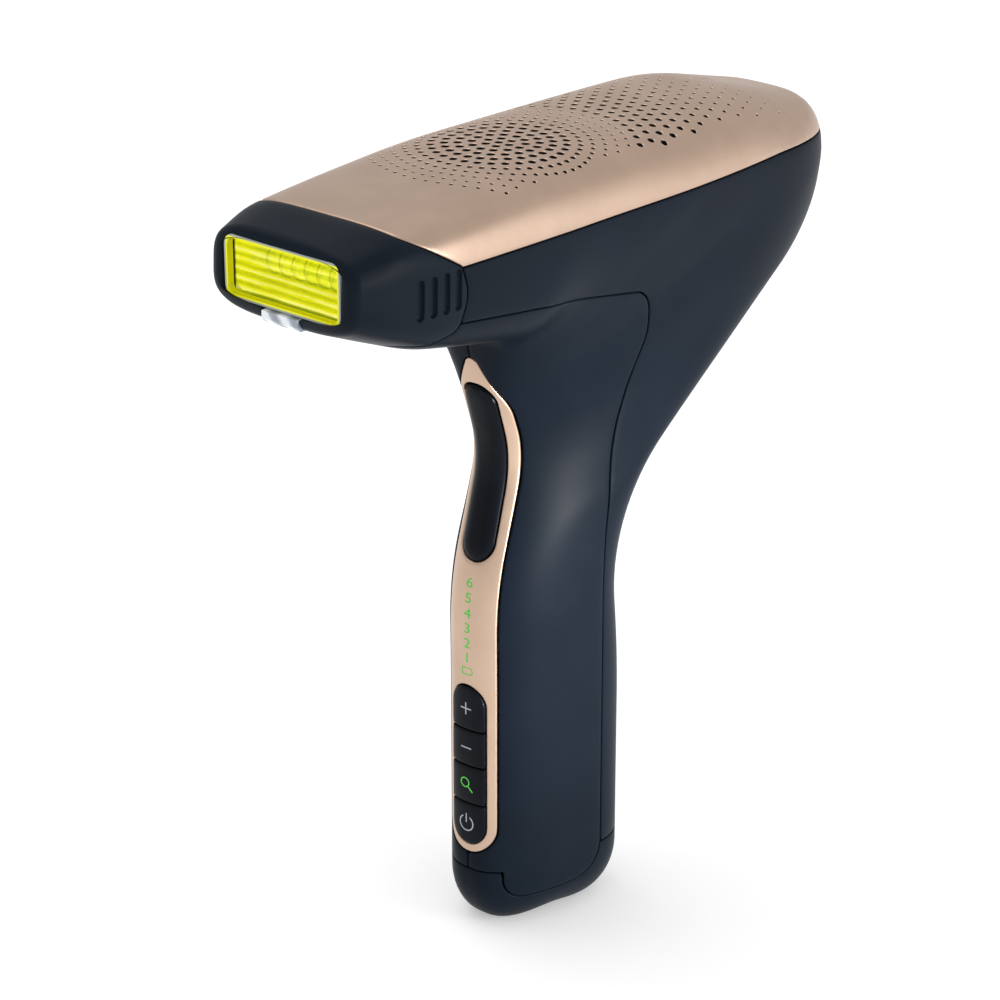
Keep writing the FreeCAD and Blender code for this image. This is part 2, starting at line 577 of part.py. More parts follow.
holder = cut("battery_holder",
             rod("holder_tube", "0", "%g" % CELL_PLACE, "18", "cell_diameter / 2 + 1.4", "2 * cell_length + 1.5"),
             rod("holder_bore", "0", "%g" % CELL_PLACE, "10", "cell_diameter / 2 + 0.2", "2 * cell_length + 20"),
             box("holder_mouth", "0", "%g - 12" % CELL_PLACE, "10", "40", "20", "2 * cell_length + 20"))
socket = cut("charging_socket",
             box("socket_block", "0", "%g" % ((GRIP_FRONT + GRIP_REAR) / 2), "1.2", "%g" % SOCKET_WIDE,
                 "%g" % SOCKET_DEEP, "%g" % SOCKET_TALL),
             box("socket_mouth", "0", "%g" % ((GRIP_FRONT + GRIP_REAR) / 2), "0", "%g - 0.8" % SOCKET_WIDE,
                 "%g - 0.8" % SOCKET_DEEP, "6"))
socket_board = box("socket_board", "0", "%g" % ((GRIP_FRONT + GRIP_REAR) / 2), "%g" % (1.2 + SOCKET_TALL),
                   "18", "14", "board_thick")

# ------------------------------------------------------------------ fan, boards and flash circuit in the head
TRAY_LEVEL = TOP - 28.2
TRAY_THICK = 1.5
FAN_PLACE, FAN_LEVEL = -13.0, TOP - 16.5
SCREW_PLACES = [("-11", "10"), ("11", "10"), ("-11", "-36"), ("11", "-36")]
SCREW_RADIUS, BOSS_HEIGHT = 1.1, 5.0
tray = cut("inner_tray", box("tray_plate", "0", "10", "%g" % TRAY_LEVEL, "34", "104", "%g" % TRAY_THICK),
           *[rod("tray_hole_%d" % number, x, y, "%g" % (TRAY_LEVEL - 1), "%g + 0.2" % SCREW_RADIUS, "5")
             for number, (x, y) in enumerate(SCREW_PLACES, start=1)])
tray_top = TRAY_LEVEL + TRAY_THICK
posts = group("fan_posts", [
    rod("fan_post_%d" % number, "%s(fan_size / 2 - 2.6)" % across, "%g %s (fan_size / 2 - 2.6)" % (FAN_PLACE, along),
        "%g" % tray_top, "1.8", "%g" % (FAN_LEVEL - tray_top))
    for number, (across, along) in enumerate((("-", "-"), ("", "-"), ("-", "+"), ("", "+")), start=1)])
STRUT = 1.6
fan_place = "%g" % FAN_PLACE
fan_frame = cut("fan_frame",
                joined("fan_frame_blank",
                       cut("fan_ring", box("fan_block", "0", fan_place, "%g" % FAN_LEVEL, "fan_size", "fan_size",
                                           "fan_height"),
                           rod("fan_duct", "0", fan_place, "%g" % (FAN_LEVEL - 1), "fan_size / 2 - 1", "fan_height + 2")),
                       box("fan_strut_across", "0", fan_place, "%g" % FAN_LEVEL, "fan_size - 1", "3", "%g" % STRUT),
                       box("fan_strut_along", "0", fan_place, "%g" % FAN_LEVEL, "3", "fan_size - 1", "%g" % STRUT),
                       rod("fan_boss", "0", fan_place, "%g" % FAN_LEVEL, "6", "%g" % (STRUT + 1))),
                rod("fan_bearing", "0", fan_place, "%g" % (FAN_LEVEL - 1), "shaft_diameter / 2 + shaft_play", "10"))
BLADES = 7
HUB_LEVEL = FAN_LEVEL + STRUT + 1.4
hub = rod("fan_hub", "0", fan_place, "%g" % HUB_LEVEL, "7.5", "fan_height - %g" % (STRUT + 2.0))
shaft = rod("fan_shaft", "0", fan_place, "%g + 0.3" % FAN_LEVEL, "shaft_diameter / 2", "%g" % (STRUT + 3))
blades = []
for number in range(BLADES):
    blade = doc.addObject("Part::Box", "fan_blade_%d" % (number + 1))
    blade.Label = "fan_blade_%d" % (number + 1)
    bind(blade, Length="fan_size / 2 - 1 - slip - 7.8", Width="9", Height="0.9")
    pitch = Placement(Vector(7.0, -4.5, HUB_LEVEL + 2.4), Rotation(Vector(1, 0, 0), 28), Vector(0, 4.5, 0.45))
    turn = Placement(Vector(0, FAN_PLACE, 0), Rotation(Vector(0, 0, 1), 360.0 * number / BLADES))
    blade.Placement = turn.multiply(pitch)
    blades.append(blade)
fan_rotor = joined("fan_rotor", hub, shaft, *blades)

FINS = 6
sink_front = FLANGE_FRONT + FLANGE_THICK
fins = [box("sink_fin_%d" % (number + 1), "%g" % (-12.5 + 5.0 * number), "%g" % (sink_front + 5.5),
            LEVEL + " - 7", "1.2", "8", "14") for number in range(FINS)]
heat_sink = joined("heat_sink",
                   box("sink_plate", "0", "%g" % (sink_front + 1.0), LEVEL + " - 8", "28", "2", "16"), *fins)
power_board = box("power_board", "0", "40", "%g" % (tray_top + 0.6), "33", "42", "board_thick")
BOARD_TOP = "(%g + board_thick)" % (tray_top + 0.6)
flash_capacitor = rod("flash_capacitor", "-6.5", "15", BOARD_TOP + " + cap_diameter / 2", "cap_diameter / 2",
                      "cap_length", "y")
core = cut("transformer_core",
           box("core_block", "11.7", "26", BOARD_TOP, "13", "16", "12"),
           box("core_window", "11.7", "26", BOARD_TOP + " + 3", "20", "10", "6"))
winding = cut("transformer_coil",
              box("coil_block", "11.7", "26", BOARD_TOP + " + 3.2", "15.5", "9.6", "5.6"),
              box("coil_bore", "11.7", "26", BOARD_TOP + " + 3", "4", "20", "6"))
trigger_coil = joined("trigger_coil",
                      rod("trigger_coil_body", "11", "42", BOARD_TOP, "3.6", "9"),
                      box("trigger_coil_foot", "11", "42", BOARD_TOP, "9", "9", "1.2"))
MAGNET_RADIUS, MAGNET_LENGTH = 2.5, 2.0
MAGNET_PLACE = FRONT + 23.0
KEEPER_FRONT = MAGNET_PLACE + MAGNET_LENGTH + size("slip")
MAGNET_LEVEL = LEVEL + " - %g" % (HOLDER_SIDE / 2 + MAGNET_RADIUS + 1.0)   # the magnets pass under the holders
MAGNET_SIDES = (("left", "-19.6"), ("right", "19.6"))
magnets = group("attachment_magnets", [
    rod(side + "_magnet", x, "%g" % MAGNET_PLACE, MAGNET_LEVEL, "%g" % MAGNET_RADIUS,
        "%g" % MAGNET_LENGTH, "y")
    for side, x in MAGNET_SIDES])
keepers = group("keeper_plates", [
    box(side + "_keeper", x, "%g" % ((KEEPER_FRONT + FLANGE_FRONT) / 2),
        "%s - %g" % (MAGNET_LEVEL, MAGNET_RADIUS), "%g" % (2 * MAGNET_RADIUS),
        "%g" % (FLANGE_FRONT - KEEPER_FRONT), "%g" % (2 * MAGNET_RADIUS))
    for side, x in MAGNET_SIDES])
tray_screws = group("tray_screws", [
    joined("tray_screw_%d" % number,
           rod("screw_head_%d" % number, x, y, "%g" % tray_top, "2.2", "0.6"),
           rod("screw_stem_%d" % number, x, y, "%g" % (TRAY_LEVEL - BOSS_HEIGHT + 0.6), "%g" % SCREW_RADIUS,
               "%g" % (TRAY_THICK + BOSS_HEIGHT - 0.4)))
    for number, (x, y) in enumerate(SCREW_PLACES, start=1)])
tray_bosses = group("tray_bosses", [
    cut("tray_boss_%d" % number,
        rod("boss_post_%d" % number, x, y, "%g" % (TRAY_LEVEL - BOSS_HEIGHT), "2.6", "%g" % BOSS_HEIGHT),
        rod("boss_bore_%d" % number, x, y, "%g" % (TRAY_LEVEL - BOSS_HEIGHT + 0.6), "%g" % SCREW_RADIUS,
            "%g" % (BOSS_HEIGHT + 5)))
    for number, (x, y) in enumerate(SCREW_PLACES, start=1)])

NODES = [attachment, sensor_window, magnets, cover, rear, left_grip, right_grip, foot, strip, nose, glass,
         seal, reflector, lamp, electrodes, holders, trigger_wire, skin_sensor, keepers, trigger, pin, pin_blocks,
         trigger_switch] + keys + [key_mat, control_board, light_guide, lower_cell, upper_cell, holder, socket,
         socket_board, tray, tray_screws, tray_bosses, posts, fan_frame, fan_rotor, heat_sink, power_board, flash_capacitor,
         core, winding, trigger_coil]

doc.recompute()
faults = [thing.Label for thing in doc.Objects if "Invalid" in thing.State or "Error" in thing.State]
for node in NODES:
    if node.Shape.isNull() or not node.Shape.isValid() or not node.Shape.Solids:
        faults.append(node.Label)
if faults:
    raise SystemExit("failed: " + ", ".join(faults))

os.makedirs("parts", exist_ok=True)
for node in NODES:
    node.Shape.exportStep(os.path.join("parts", node.Label + ".step"))
    print("%-22s %2d solid(s) %10.1f mm3" % (node.Label, len(node.Shape.Solids), node.Shape.Volume))
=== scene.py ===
"""Looks of a hand-held IPL hair remover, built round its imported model.

The casing is one smooth skin carried along two rails in the YZ plane, as in the model's own source. Every
visible casing piece is a region of that skin: its edges are the level lines of a distance that is worked out
on the skin, so each piece gets its true seams, rounded edges, wall and closed back. Lengths in the form are
in millimetres; meshes, finishes and the studio are in metres.
"""
from __future__ import annotations

import logging
import math
from dataclasses import dataclass
from enum import Enum
from typing import Callable, Sequence

import bmesh
import bpy
import numpy as np
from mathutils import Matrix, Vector
from mathutils.geometry import delaunay_2d_cdt


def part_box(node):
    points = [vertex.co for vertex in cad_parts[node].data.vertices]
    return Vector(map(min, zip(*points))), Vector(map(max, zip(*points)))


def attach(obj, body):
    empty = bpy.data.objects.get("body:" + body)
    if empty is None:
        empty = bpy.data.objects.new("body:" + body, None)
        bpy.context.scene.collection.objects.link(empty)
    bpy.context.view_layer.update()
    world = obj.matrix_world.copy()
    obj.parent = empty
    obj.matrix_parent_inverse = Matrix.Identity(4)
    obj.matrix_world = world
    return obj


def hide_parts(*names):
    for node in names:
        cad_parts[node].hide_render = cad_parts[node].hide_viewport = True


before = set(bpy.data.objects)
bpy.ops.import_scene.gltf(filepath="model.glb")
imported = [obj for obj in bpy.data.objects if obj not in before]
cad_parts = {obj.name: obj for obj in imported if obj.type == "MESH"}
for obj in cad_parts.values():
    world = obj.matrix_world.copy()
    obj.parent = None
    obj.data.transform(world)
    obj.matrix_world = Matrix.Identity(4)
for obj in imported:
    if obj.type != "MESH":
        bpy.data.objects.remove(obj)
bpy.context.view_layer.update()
log = logging.getLogger("hair_remover")

MM = 0.001
SHARP = 38.0     # degrees
FAR = 99.0       # farther than any seam
Array = np.ndarray


def edge(node: str, axis: int, high: bool) -> float:
    """One side of a CAD node's box in millimetres.

    Args:
        node: name of the CAD node.
        axis: 0, 1 or 2 for X, Y or Z.
        high: the higher side, or else the lower.

    Returns:
        The coordinate in millimetres.
    """
    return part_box(node)[1 if high else 0][axis] / MM


def middle(node: str, axis: int) -> float:
    """The middle of a CAD node's box on an axis, in millimetres."""
    return (edge(node, axis, True) + edge(node, axis, False)) / 2


def unit(vectors: Array) -> Array:
    """Vectors scaled to a length of one."""
    return vectors / np.maximum(np.linalg.norm(vectors, axis=-1, keepdims=True), 1e-12)


# ------------------------------------------------------------------ sizes that the casing shares
FRONT = edge("attachment_shell", 1, False) + 1.0     # upper edge of the light face
REAR = round(edge("rear_housing", 1, True) + 0.2, 1)
TOP = round(edge("top_cover", 2, True) - 0.2, 1)
GRIP_FRONT = round(edge("front_strip", 1, False) + 0.1, 1)
GRIP_REAR = 20.6
CAP_TOP = edge("bottom_cap", 2, True)
FORM_END = 13.0            # height where the handle starts to round into its foot
FOOT_REACH = 10.5
FOOT_SWEEP = math.radians(75.0)
HALF_HEAD = 27.0
HALF_GRIP = 18.6
SEAM = 0.3


def rounded(corners: Sequence[tuple[float, float, float]], closed: bool) -> Array:
    """Straight runs joined by tangent arcs, as points.

    Args:
        corners: (a, b, radius) of each corner.
        closed: whether the last corner joins the first.

    Returns:
        Points of the line, n by 2.
    """
    points = np.array([corner[:2] for corner in corners], float)
    count = len(points)
    line: list[Array] = []
    for index, (_, _, radius) in enumerate(corners):
        ends = not closed and index in (0, count - 1)
        if ends or radius <= 0:
            line.append(points[index][None])
            continue
        back = points[index - 1] - points[index]
        ahead = points[(index + 1) % count] - points[index]
        back /= np.linalg.norm(back)
        ahead /= np.linalg.norm(ahead)
        half = math.acos(float(np.clip(back @ ahead, -1, 1))) / 2
        centre = points[index] + unit(back + ahead) * radius / math.sin(half)
        first = points[index] + back * radius / math.tan(half) - centre
        last = points[index] + ahead * radius / math.tan(half) - centre
        sweep = math.pi - 2 * half
        steps = max(3, int(sweep * radius / 0.5), int(sweep / 0.12))
        share = np.linspace(0, 1, steps + 1)[:, None]
        arc = (first * np.sin((1 - share) * sweep) + last * np.sin(share * sweep)) / math.sin(sweep)
        line.append(centre + arc)
    return np.concatenate(line)


def round_box(low: tuple[float, float], high: tuple[float, float], radius: float) -> Array:
    """A rectangle between two corners, closed, with rounded corners."""
    return rounded([(low[0], low[1], radius), (high[0], low[1], radius), (high[0], high[1], radius),
                    (low[0], high[1], radius)], closed=True)


def outline_distance(points: Array, outline: Array) -> Array:
    """Signed distance of points from a closed outline, below zero inside.

    Args:
        points: n by 2.
        outline: m by 2, closed.

    Returns:
        n distances: to the nearest side, signed by the crossing number.
    """
    best = np.full(len(points), np.inf)
    inside = np.zeros(len(points), bool)
    for start, end in zip(outline, np.roll(outline, -1, axis=0)):
        side = end - start
        length = side @ side
        if length < 1e-12:
            continue
        off = points - start
        share = np.clip(off @ side / length, 0, 1)
        best = np.minimum(best, ((off - share[:, None] * side) ** 2).sum(1))
        if start[1] != end[1]:
            crosses = (start[1] > points[:, 1]) != (end[1] > points[:, 1])
            inside ^= crosses & (points[:, 0] < start[0] + (points[:, 1] - start[1]) * side[0] / side[1])
    return np.where(inside, -1.0, 1.0) * np.sqrt(best)


class Rail:
    """A line in the YZ plane, read by the share of its length."""

    STEP = 0.5

    def __init__(self, corners: Sequence[tuple[float, float, float]]) -> None:
        """Samples the rounded line at even steps.

        Args:
            corners: (y, z, radius) of each corner.
        """
        line = rounded(corners, closed=False)
        run = np.r_[0, np.cumsum(np.linalg.norm(np.diff(line, axis=0), axis=1))]
        even = np.linspace(0, run[-1], int(run[-1] / self.STEP) + 2)
        self.points = np.stack([np.interp(even, run, line[:, axis]) for axis in (0, 1)], 1)

    def share_of(self, place: tuple[float, float]) -> float:
        """The share of the length where the rail is nearest to a place."""
        return int(np.argmin(np.linalg.norm(self.points - np.array(place), axis=1))) / (len(self.points) - 1)

    def at(self, share: Array) -> Array:
        """Points at shares of the length, n by 2.

        Args:
            share: shares from 0 to 1.

        Returns:
            Points in the YZ plane, n by 2.
        """
        where = np.clip(share, 0, 1) * (len(self.points) - 1)
        steps = np.arange(len(self.points))
        return np.stack([np.interp(where, steps, self.points[:, axis]) for axis in (0, 1)], -1)


def flowing(values: Sequence[float]) -> Callable[[Array], Array]:
    """A smooth function through evenly spaced values: cubic pieces whose slopes are harmonic means.

    Args:
        values: at even steps of the share from 0 to 1.

    Returns:
        The function.
    """
    knots = np.array(values, float)
    steps = np.diff(knots)
    product = steps[:-1] * steps[1:]
    total = np.where(np.abs(steps[:-1] + steps[1:]) > 1e-12, steps[:-1] + steps[1:], 1.0)
    slopes = np.r_[steps[0], np.where(product > 0, 2 * product / total, 0.0), steps[-1]]

    def value(share: Array) -> Array:
        """The function at shares from 0 to 1.

        Args:
            share: shares from 0 to 1.

        Returns:
            The values there.
        """
        where = np.clip(share, 0, 1) * (len(knots) - 1)
        index = np.minimum(where.astype(int), len(knots) - 2)
        t = where - index
        return ((1 + 2 * t) * (1 - t) ** 2 * knots[index] + t * (1 - t) ** 2 * slopes[index]
                + t * t * (3 - 2 * t) * knots[index + 1] + t * t * (t - 1) * slopes[index + 1])
    return value


class Skin:
    """The outer form of the whole casing, as a function of (u, v).

    u runs along the rails: LENGTH from the light face to the foot's rounding, then FOOT more round it.
    v runs round a section: 0 on the inner rail, GIRTH on the outer rail. Past either rail it comes back on
    the other side, so pieces that cross the middle are one sheet.
    """

    LENGTH = 260.0
    FOOT = 18.0
    GIRTH = 90.0

    def __init__(self) -> None:
        """Builds the rails, the stations and the table of even steps round each section."""
        front, rear, top = FRONT, REAR, TOP
        self.outer = Rail([
            (front, top - 4.9, 0), (front + 11.5, top - 2.4, 40), (front + 58, top + 0.3, 300),
            (rear - 34, top - 0.3, 50), (rear + 0.5, top - 8.7, 13), (rear - 1, top - 32.7, 20),
            (GRIP_REAR - 4.6, 101, 45), (GRIP_REAR, 62, 200), (GRIP_REAR, FORM_END, 0)])
        self.inner = Rail([
            (front - 1, top - 22.7, 0), (front + 20, top - 31.2, 40), (GRIP_FRONT - 0.5, top - 39.2, 5.5),
            (GRIP_FRONT + 7.8, 116, 28), (GRIP_FRONT, 85, 75), (GRIP_FRONT, FORM_END, 0)])
        stations = [
            ((front, top - 4.9), (front - 1, top - 22.7), HALF_HEAD - 6.7, HALF_HEAD - 6.7, 3.6, 1.0),
            ((front + 12, top - 2.7), (front + 12, top - 27.7), HALF_HEAD - 3.7, HALF_HEAD - 3.4, 4.0, 1.0),
            ((front + 28, top - 1.7), (front + 28, top - 32.7), HALF_HEAD - 2.4, HALF_HEAD - 1.6, 4.0, 1.0),
            ((front + 64, top + 0.3), (front + 51, top - 38.1), HALF_HEAD - 3.0, HALF_HEAD - 0.2, 3.8, 1.2),
            ((rear - 52, top - 0.1), (GRIP_FRONT + 1.2, top - 45.2), 15.5, HALF_HEAD + 0.3, 3.4, 2.2),
            ((rear - 2, top - 14.7), (GRIP_FRONT + 4.5, top - 58.7), 13.0, HALF_HEAD - 2.0, 3.0, 2.2),
            ((rear - 8, top - 40.7), (GRIP_FRONT + 6.4, 119), 12.2, HALF_HEAD - 4.5, 2.7, 2.0),
            ((GRIP_REAR + 19.4, 112), (GRIP_FRONT + 4.0, 99), 11.4, HALF_GRIP + 1.4, 2.6, 1.2),
            ((GRIP_REAR - 0.3, 77), (GRIP_FRONT + 0.1, 77), 11.2, HALF_GRIP, 2.6, 1.0),
            ((GRIP_REAR, FORM_END), (GRIP_FRONT, FORM_END), 11.2, HALF_GRIP, 2.6, 1.0)]
        self.outer_share = flowing([self.outer.share_of(station[0]) for station in stations])
        self.inner_share = flowing([self.inner.share_of(station[1]) for station in stations])
        self.inner_width, self.outer_width, self.squareness, self.growth = (
            flowing([station[column] for station in stations]) for column in (2, 3, 4, 5))
        self._tabulate()
        along, around = self.slopes(np.array([0.9 * self.LENGTH]), np.array([0.5 * self.GIRTH]))
        self.sense = math.copysign(1.0, np.cross(along, around)[0, 0])      # turns along x around outwards

    def _tabulate(self) -> None:
        """Stores, for each section, the turn at even steps of the length round it."""
        rows, turns, even = 320, 900, 900
        shares = np.r_[np.linspace(0, 1, rows + 1), np.linspace(1, 2, 25)[1:]]
        turn = (1 - np.cos(np.linspace(0, math.pi, turns))) * math.pi / 2
        grid = self.point(np.repeat(shares, turns), np.tile(turn, len(shares))).reshape(len(shares), turns, 3)
        run = np.cumsum(np.linalg.norm(np.diff(grid, axis=1), axis=2), axis=1)
        run = np.concatenate([np.zeros((len(shares), 1)), run], axis=1)
        self.table_shares = shares
        self.table = np.stack([np.interp(np.linspace(0, line[-1], even + 1), line, turn) for line in run])

    def point(self, share: Array, turn: Array) -> Array:
        """Points of the right half of the skin.

        The two rail points at a share span the section; a superellipse between them gives the place across
        and along, and its width changes from the inner end to the outer end. Past share 1 the last section
        shrinks and drops along a quarter round.

        Args:
            share: 0 at the light face, 1 at the foot's rounding, 2 at the rest face.
            turn: 0 on the inner rail, pi on the outer rail.

        Returns:
            n by 3 points in millimetres.
        """
        main = np.minimum(share, 1.0)
        inner = self.inner.at(self.inner_share(main))
        outer = self.outer.at(self.outer_share(main))
        power = 2.0 / self.squareness(main)
        cosine = np.cos(turn)
        across = np.abs(np.sin(turn)) ** power
        along = (1 - np.sign(cosine) * np.abs(cosine) ** power) / 2
        low, high = self.inner_width(main), self.outer_width(main)
        width = low + (high - low) * (1 - (1 - along) ** self.growth(main))
        flat = inner + (outer - inner) * along[:, None]
        points = np.stack([width * across, flat[:, 0], flat[:, 1]], -1)
        angle = FOOT_SWEEP * np.maximum(share - 1.0, 0.0)
        centre = np.array([0.0, (GRIP_FRONT + GRIP_REAR) / 2, FORM_END])
        off = points - centre
        radius = np.maximum(np.linalg.norm(off, axis=1), 1e-9)
        shrink = (radius - FOOT_REACH * (1 - np.cos(angle))) / radius
        foot = centre + off * shrink[:, None]
        foot[:, 2] -= FORM_END * np.sin(angle) / math.sin(FOOT_SWEEP)
        return np.where((share > 1.0)[:, None], foot, points)

    def place(self, u: Array, v: Array) -> Array:
        """Points of the skin at (u, v), both sides of the middle.

        Args:
            u: places along the skin.
            v: places round the skin.

        Returns:
            n by 3 points in millimetres.
        """
        share = np.where(u <= self.LENGTH, u / self.LENGTH, 1 + (u - self.LENGTH) / self.FOOT)
        share = np.clip(share, 0, 2)
        part = v / self.GIRTH
        side = np.where((part < 0) | (part > 1), -1.0, 1.0)
        part = np.where(part < 0, -part, np.where(part > 1, 2 - part, part))
        row = np.interp(share, self.table_shares, np.arange(len(self.table_shares)))
        low = np.minimum(row.astype(int), len(self.table_shares) - 2)
        column = np.clip(part, 0, 1) * (self.table.shape[1] - 1)
        left = np.minimum(column.astype(int), self.table.shape[1] - 2)
        a, b = row - low, column - left
        turn = ((1 - a) * ((1 - b) * self.table[low, left] + b * self.table[low, left + 1])
                + a * ((1 - b) * self.table[low + 1, left] + b * self.table[low + 1, left + 1]))
        points = self.point(share, turn)
        points[:, 0] *= side
        return points

    def slopes(self, u: Array, v: Array) -> tuple[Array, Array]:
        """How a point moves with u and with v, by differences over half a millimetre.

        Args:
            u: places along the skin.
            v: places round the skin.

        Returns:
            The two slopes, n by 3 each.
        """
        step = 0.25
        top = self.LENGTH + self.FOOT
        high, low = np.minimum(u + step, top), np.maximum(u - step, 0.0)
        along = (self.place(high, v) - self.place(low, v)) / (high - low)[:, None]
        around = (self.place(u, v + step) - self.place(u, v - step)) / (2 * step)
        return along, around

    def normal(self, u: Array, v: Array) -> Array:
        """Outward unit normals at (u, v)."""
        along, around = self.slopes(u, v)
        return unit(np.cross(along, around)) * self.sense

    def find(self, wanted: Array, axes: tuple[int, int], u: Array, v: Array) -> tuple[Array, Array]:
        """The (u, v) whose points have wanted coordinates on two axes, by Newton's steps.

        Args:
            wanted: n by 2 coordinates.
            axes: the two axes they are on.
            u: first guesses.
            v: first guesses.

        Returns:
            u and v.
        """
        pick = list(axes)
        for _ in range(14):
            off = wanted - self.place(u, v)[:, pick]
            along, around = self.slopes(u, v)
            a, b = along[:, pick], around[:, pick]
            det = a[:, 0] * b[:, 1] - a[:, 1] * b[:, 0]
            det = np.where(np.abs(det) < 1e-6, 1e-6, det)
            du = (off[:, 0] * b[:, 1] - off[:, 1] * b[:, 0]) / det
            dv = (a[:, 0] * off[:, 1] - a[:, 1] * off[:, 0]) / det
            u = u + np.clip(du, -6, 6)
            v = v + np.clip(dv, -6, 6)
        return u, v


SKIN = Skin()


# ------------------------------------------------------------------ seams, seen from the side and the front
@dataclass(frozen=True)
class Outline:
    """A closed outline in a plane, with the distance from it."""

    corners: tuple[tuple[float, float, float], ...]
    axes: tuple[int, int] = (1, 2)

    def away(self, points: Array) -> Array:
        """Distance outside the outline, below zero inside, for n by 3 points."""
        return outline_distance(points[:, list(self.axes)], rounded(self.corners, closed=True))


NECK_REAR = GRIP_REAR - 13.2
ATTACHMENT_SIDE = Outline((
    (FRONT - 15, TOP + 15, 0), (FRONT + 11.5, TOP + 15, 0), (FRONT + 11.5, TOP - 2.6, 5),
    (FRONT + 27, TOP - 12.3, 1.5), (FRONT + 29, TOP - 18.5, 8), (FRONT + 26.5, TOP - 26, 4),
    (FRONT + 20, TOP - 28.3, 8), (FRONT + 10, TOP - 27.1, 4), (FRONT + 6, TOP - 36, 0),
    (FRONT - 15, TOP - 36, 0)))
COVER_SIDE = Outline((
    (FRONT + 5, TOP + 15, 0), (FRONT + 5, TOP - 2.6, 0), (FRONT + 11.5, TOP - 2.6, 3),
    (FRONT + 27, TOP - 12.3, 2), (REAR - 32, TOP - 13.8, 150), (REAR + 10, TOP - 15.7, 0),
    (REAR + 10, TOP + 15, 0)))
GRIP_SIDE = Outline((
    (FRONT - 15, CAP_TOP, 0), (FRONT - 15, TOP - 23.5, 0), (FRONT + 28, TOP - 25, 0),
    (FRONT + 52, TOP - 28.3, 60), (4, TOP - 33.9, 60), (16.0, TOP - 36.0, 8), (17.6, TOP - 46.0, 12),
    (9.6, 118, 60), (NECK_REAR, 95, 60), (NECK_REAR, 8.3, 9), (GRIP_FRONT + 3.5, 8.3, 5),
    (GRIP_FRONT + 3.5, CAP_TOP, 0)))
HALF_STRIP, HALF_KEY = 7.0, 4.7
STRIP_FOOT, STRIP_TIP = edge("front_strip", 2, False), TOP - 44.5
TRIGGER_FOOT, TRIGGER_TIP = edge("trigger", 2, False), edge("trigger", 2, True)
KEY_NODES = ("power_key", "skin_test_key", "minus_key", "plus_key")
PAD_LOW, PAD_HIGH = edge("power_key", 2, False) - SEAM / 2, edge("plus_key", 2, True) + SEAM / 2
KEY_GAP = 0.25
STRIP_FRONT = Outline((
    (-HALF_STRIP, STRIP_FOOT, HALF_STRIP - 0.01), (HALF_STRIP, STRIP_FOOT, HALF_STRIP - 0.01),
    (HALF_STRIP, 131.0, 12), (0, STRIP_TIP, 2), (-HALF_STRIP, 131.0, 12)), (0, 2))


def slot_outline(low: float, high: float, upper: float) -> Outline:
    """An upright slot as wide as the keys, from low to high, with its upper corners' radius."""
    return Outline(((-HALF_KEY, low, HALF_KEY - 0.01), (HALF_KEY, low, HALF_KEY - 0.01),
                    (HALF_KEY, high, upper), (-HALF_KEY, high, upper)), (0, 2))


TRIGGER_ROUND = HALF_KEY - 0.6
TRIGGER_RISE = 0.45        # the slot's tip clears the trigger as it tilts
TRIGGER_FRONT = slot_outline(TRIGGER_FOOT, TRIGGER_TIP, TRIGGER_ROUND)
TRIGGER_SLOT = slot_outline(TRIGGER_FOOT, TRIGGER_TIP + TRIGGER_RISE, TRIGGER_ROUND)
PAD_FRONT = slot_outline(PAD_LOW, PAD_HIGH, HALF_KEY - 0.01)


# ------------------------------------------------------------------ meshes
@dataclass
class Sheet:
    """An open surface: points, the unit direction that its wall grows in, and triangles."""

    points: Array
    inward: Array
    faces: Array

    def joined(self, other: "Sheet") -> "Sheet":
        """Both sheets as one, with points that meet made one."""
        return Sheet(np.concatenate([self.points, other.points]), np.concatenate([self.inward, other.inward]),
                     np.concatenate([self.faces, other.faces + len(self.points)])).welded()

    def flipped(self) -> "Sheet":
        """The mirror image across X = 0."""
        flip = np.array([-1.0, 1.0, 1.0])
        return Sheet(self.points * flip, self.inward * flip, self.faces[:, ::-1])

    def mirrored(self) -> "Sheet":
        """The sheet and its mirror image as one."""
        return self.joined(self.flipped())

    def welded(self, reach: float = 2e-3) -> "Sheet":
        """Points nearer than reach made one, and faces that lose a corner dropped.

        Args:
            reach: in millimetres.

        Returns:
            The sheet without doubles.
        """
        keys = np.round(self.points / reach).astype(np.int64)
        _, first, index = np.unique(keys, axis=0, return_index=True, return_inverse=True)
        index = index.reshape(-1)
        inward = np.zeros((len(first), 3))
        np.add.at(inward, index, self.inward)
        faces = index[self.faces]
        whole = (faces[:, 0] != faces[:, 1]) & (faces[:, 1] != faces[:, 2]) & (faces[:, 2] != faces[:, 0])
        return Sheet(self.points[first], unit(inward), faces[whole])

    def walled(self, thick: float) -> tuple[Array, Array]:
        """The closed solid of the sheet: its back moved inwards by thick millimetres, its rims joined.

        Args:
            thick: wall in millimetres.

        Returns:
            Points and triangles.
        """
        count = len(self.points)
        points = np.concatenate([self.points, self.points + self.inward * thick])
        back = self.faces[:, ::-1] + count
        sides = np.concatenate([self.faces[:, [0, 1]], self.faces[:, [1, 2]], self.faces[:, [2, 0]]])
        low, high = sides.min(1), sides.max(1)
        _, first, times = np.unique(low * count + high, return_index=True, return_counts=True)
        a, b = sides[first[times == 1]].T
        walls = np.concatenate([np.stack([b, a, a + count], 1), np.stack([b, a + count, b + count], 1)])
        return points, np.concatenate([self.faces, back, walls])


def linked(name: str, data: bpy.types.ID | None) -> bpy.types.Object:
    """A new object at the origin, in the scene.

    Args:
        name: its name.
        data: its mesh, curve, camera or light.

    Returns:
        The object.
    """
    thing = bpy.data.objects.new(name, data)
    bpy.context.scene.collection.objects.link(thing)
    return thing


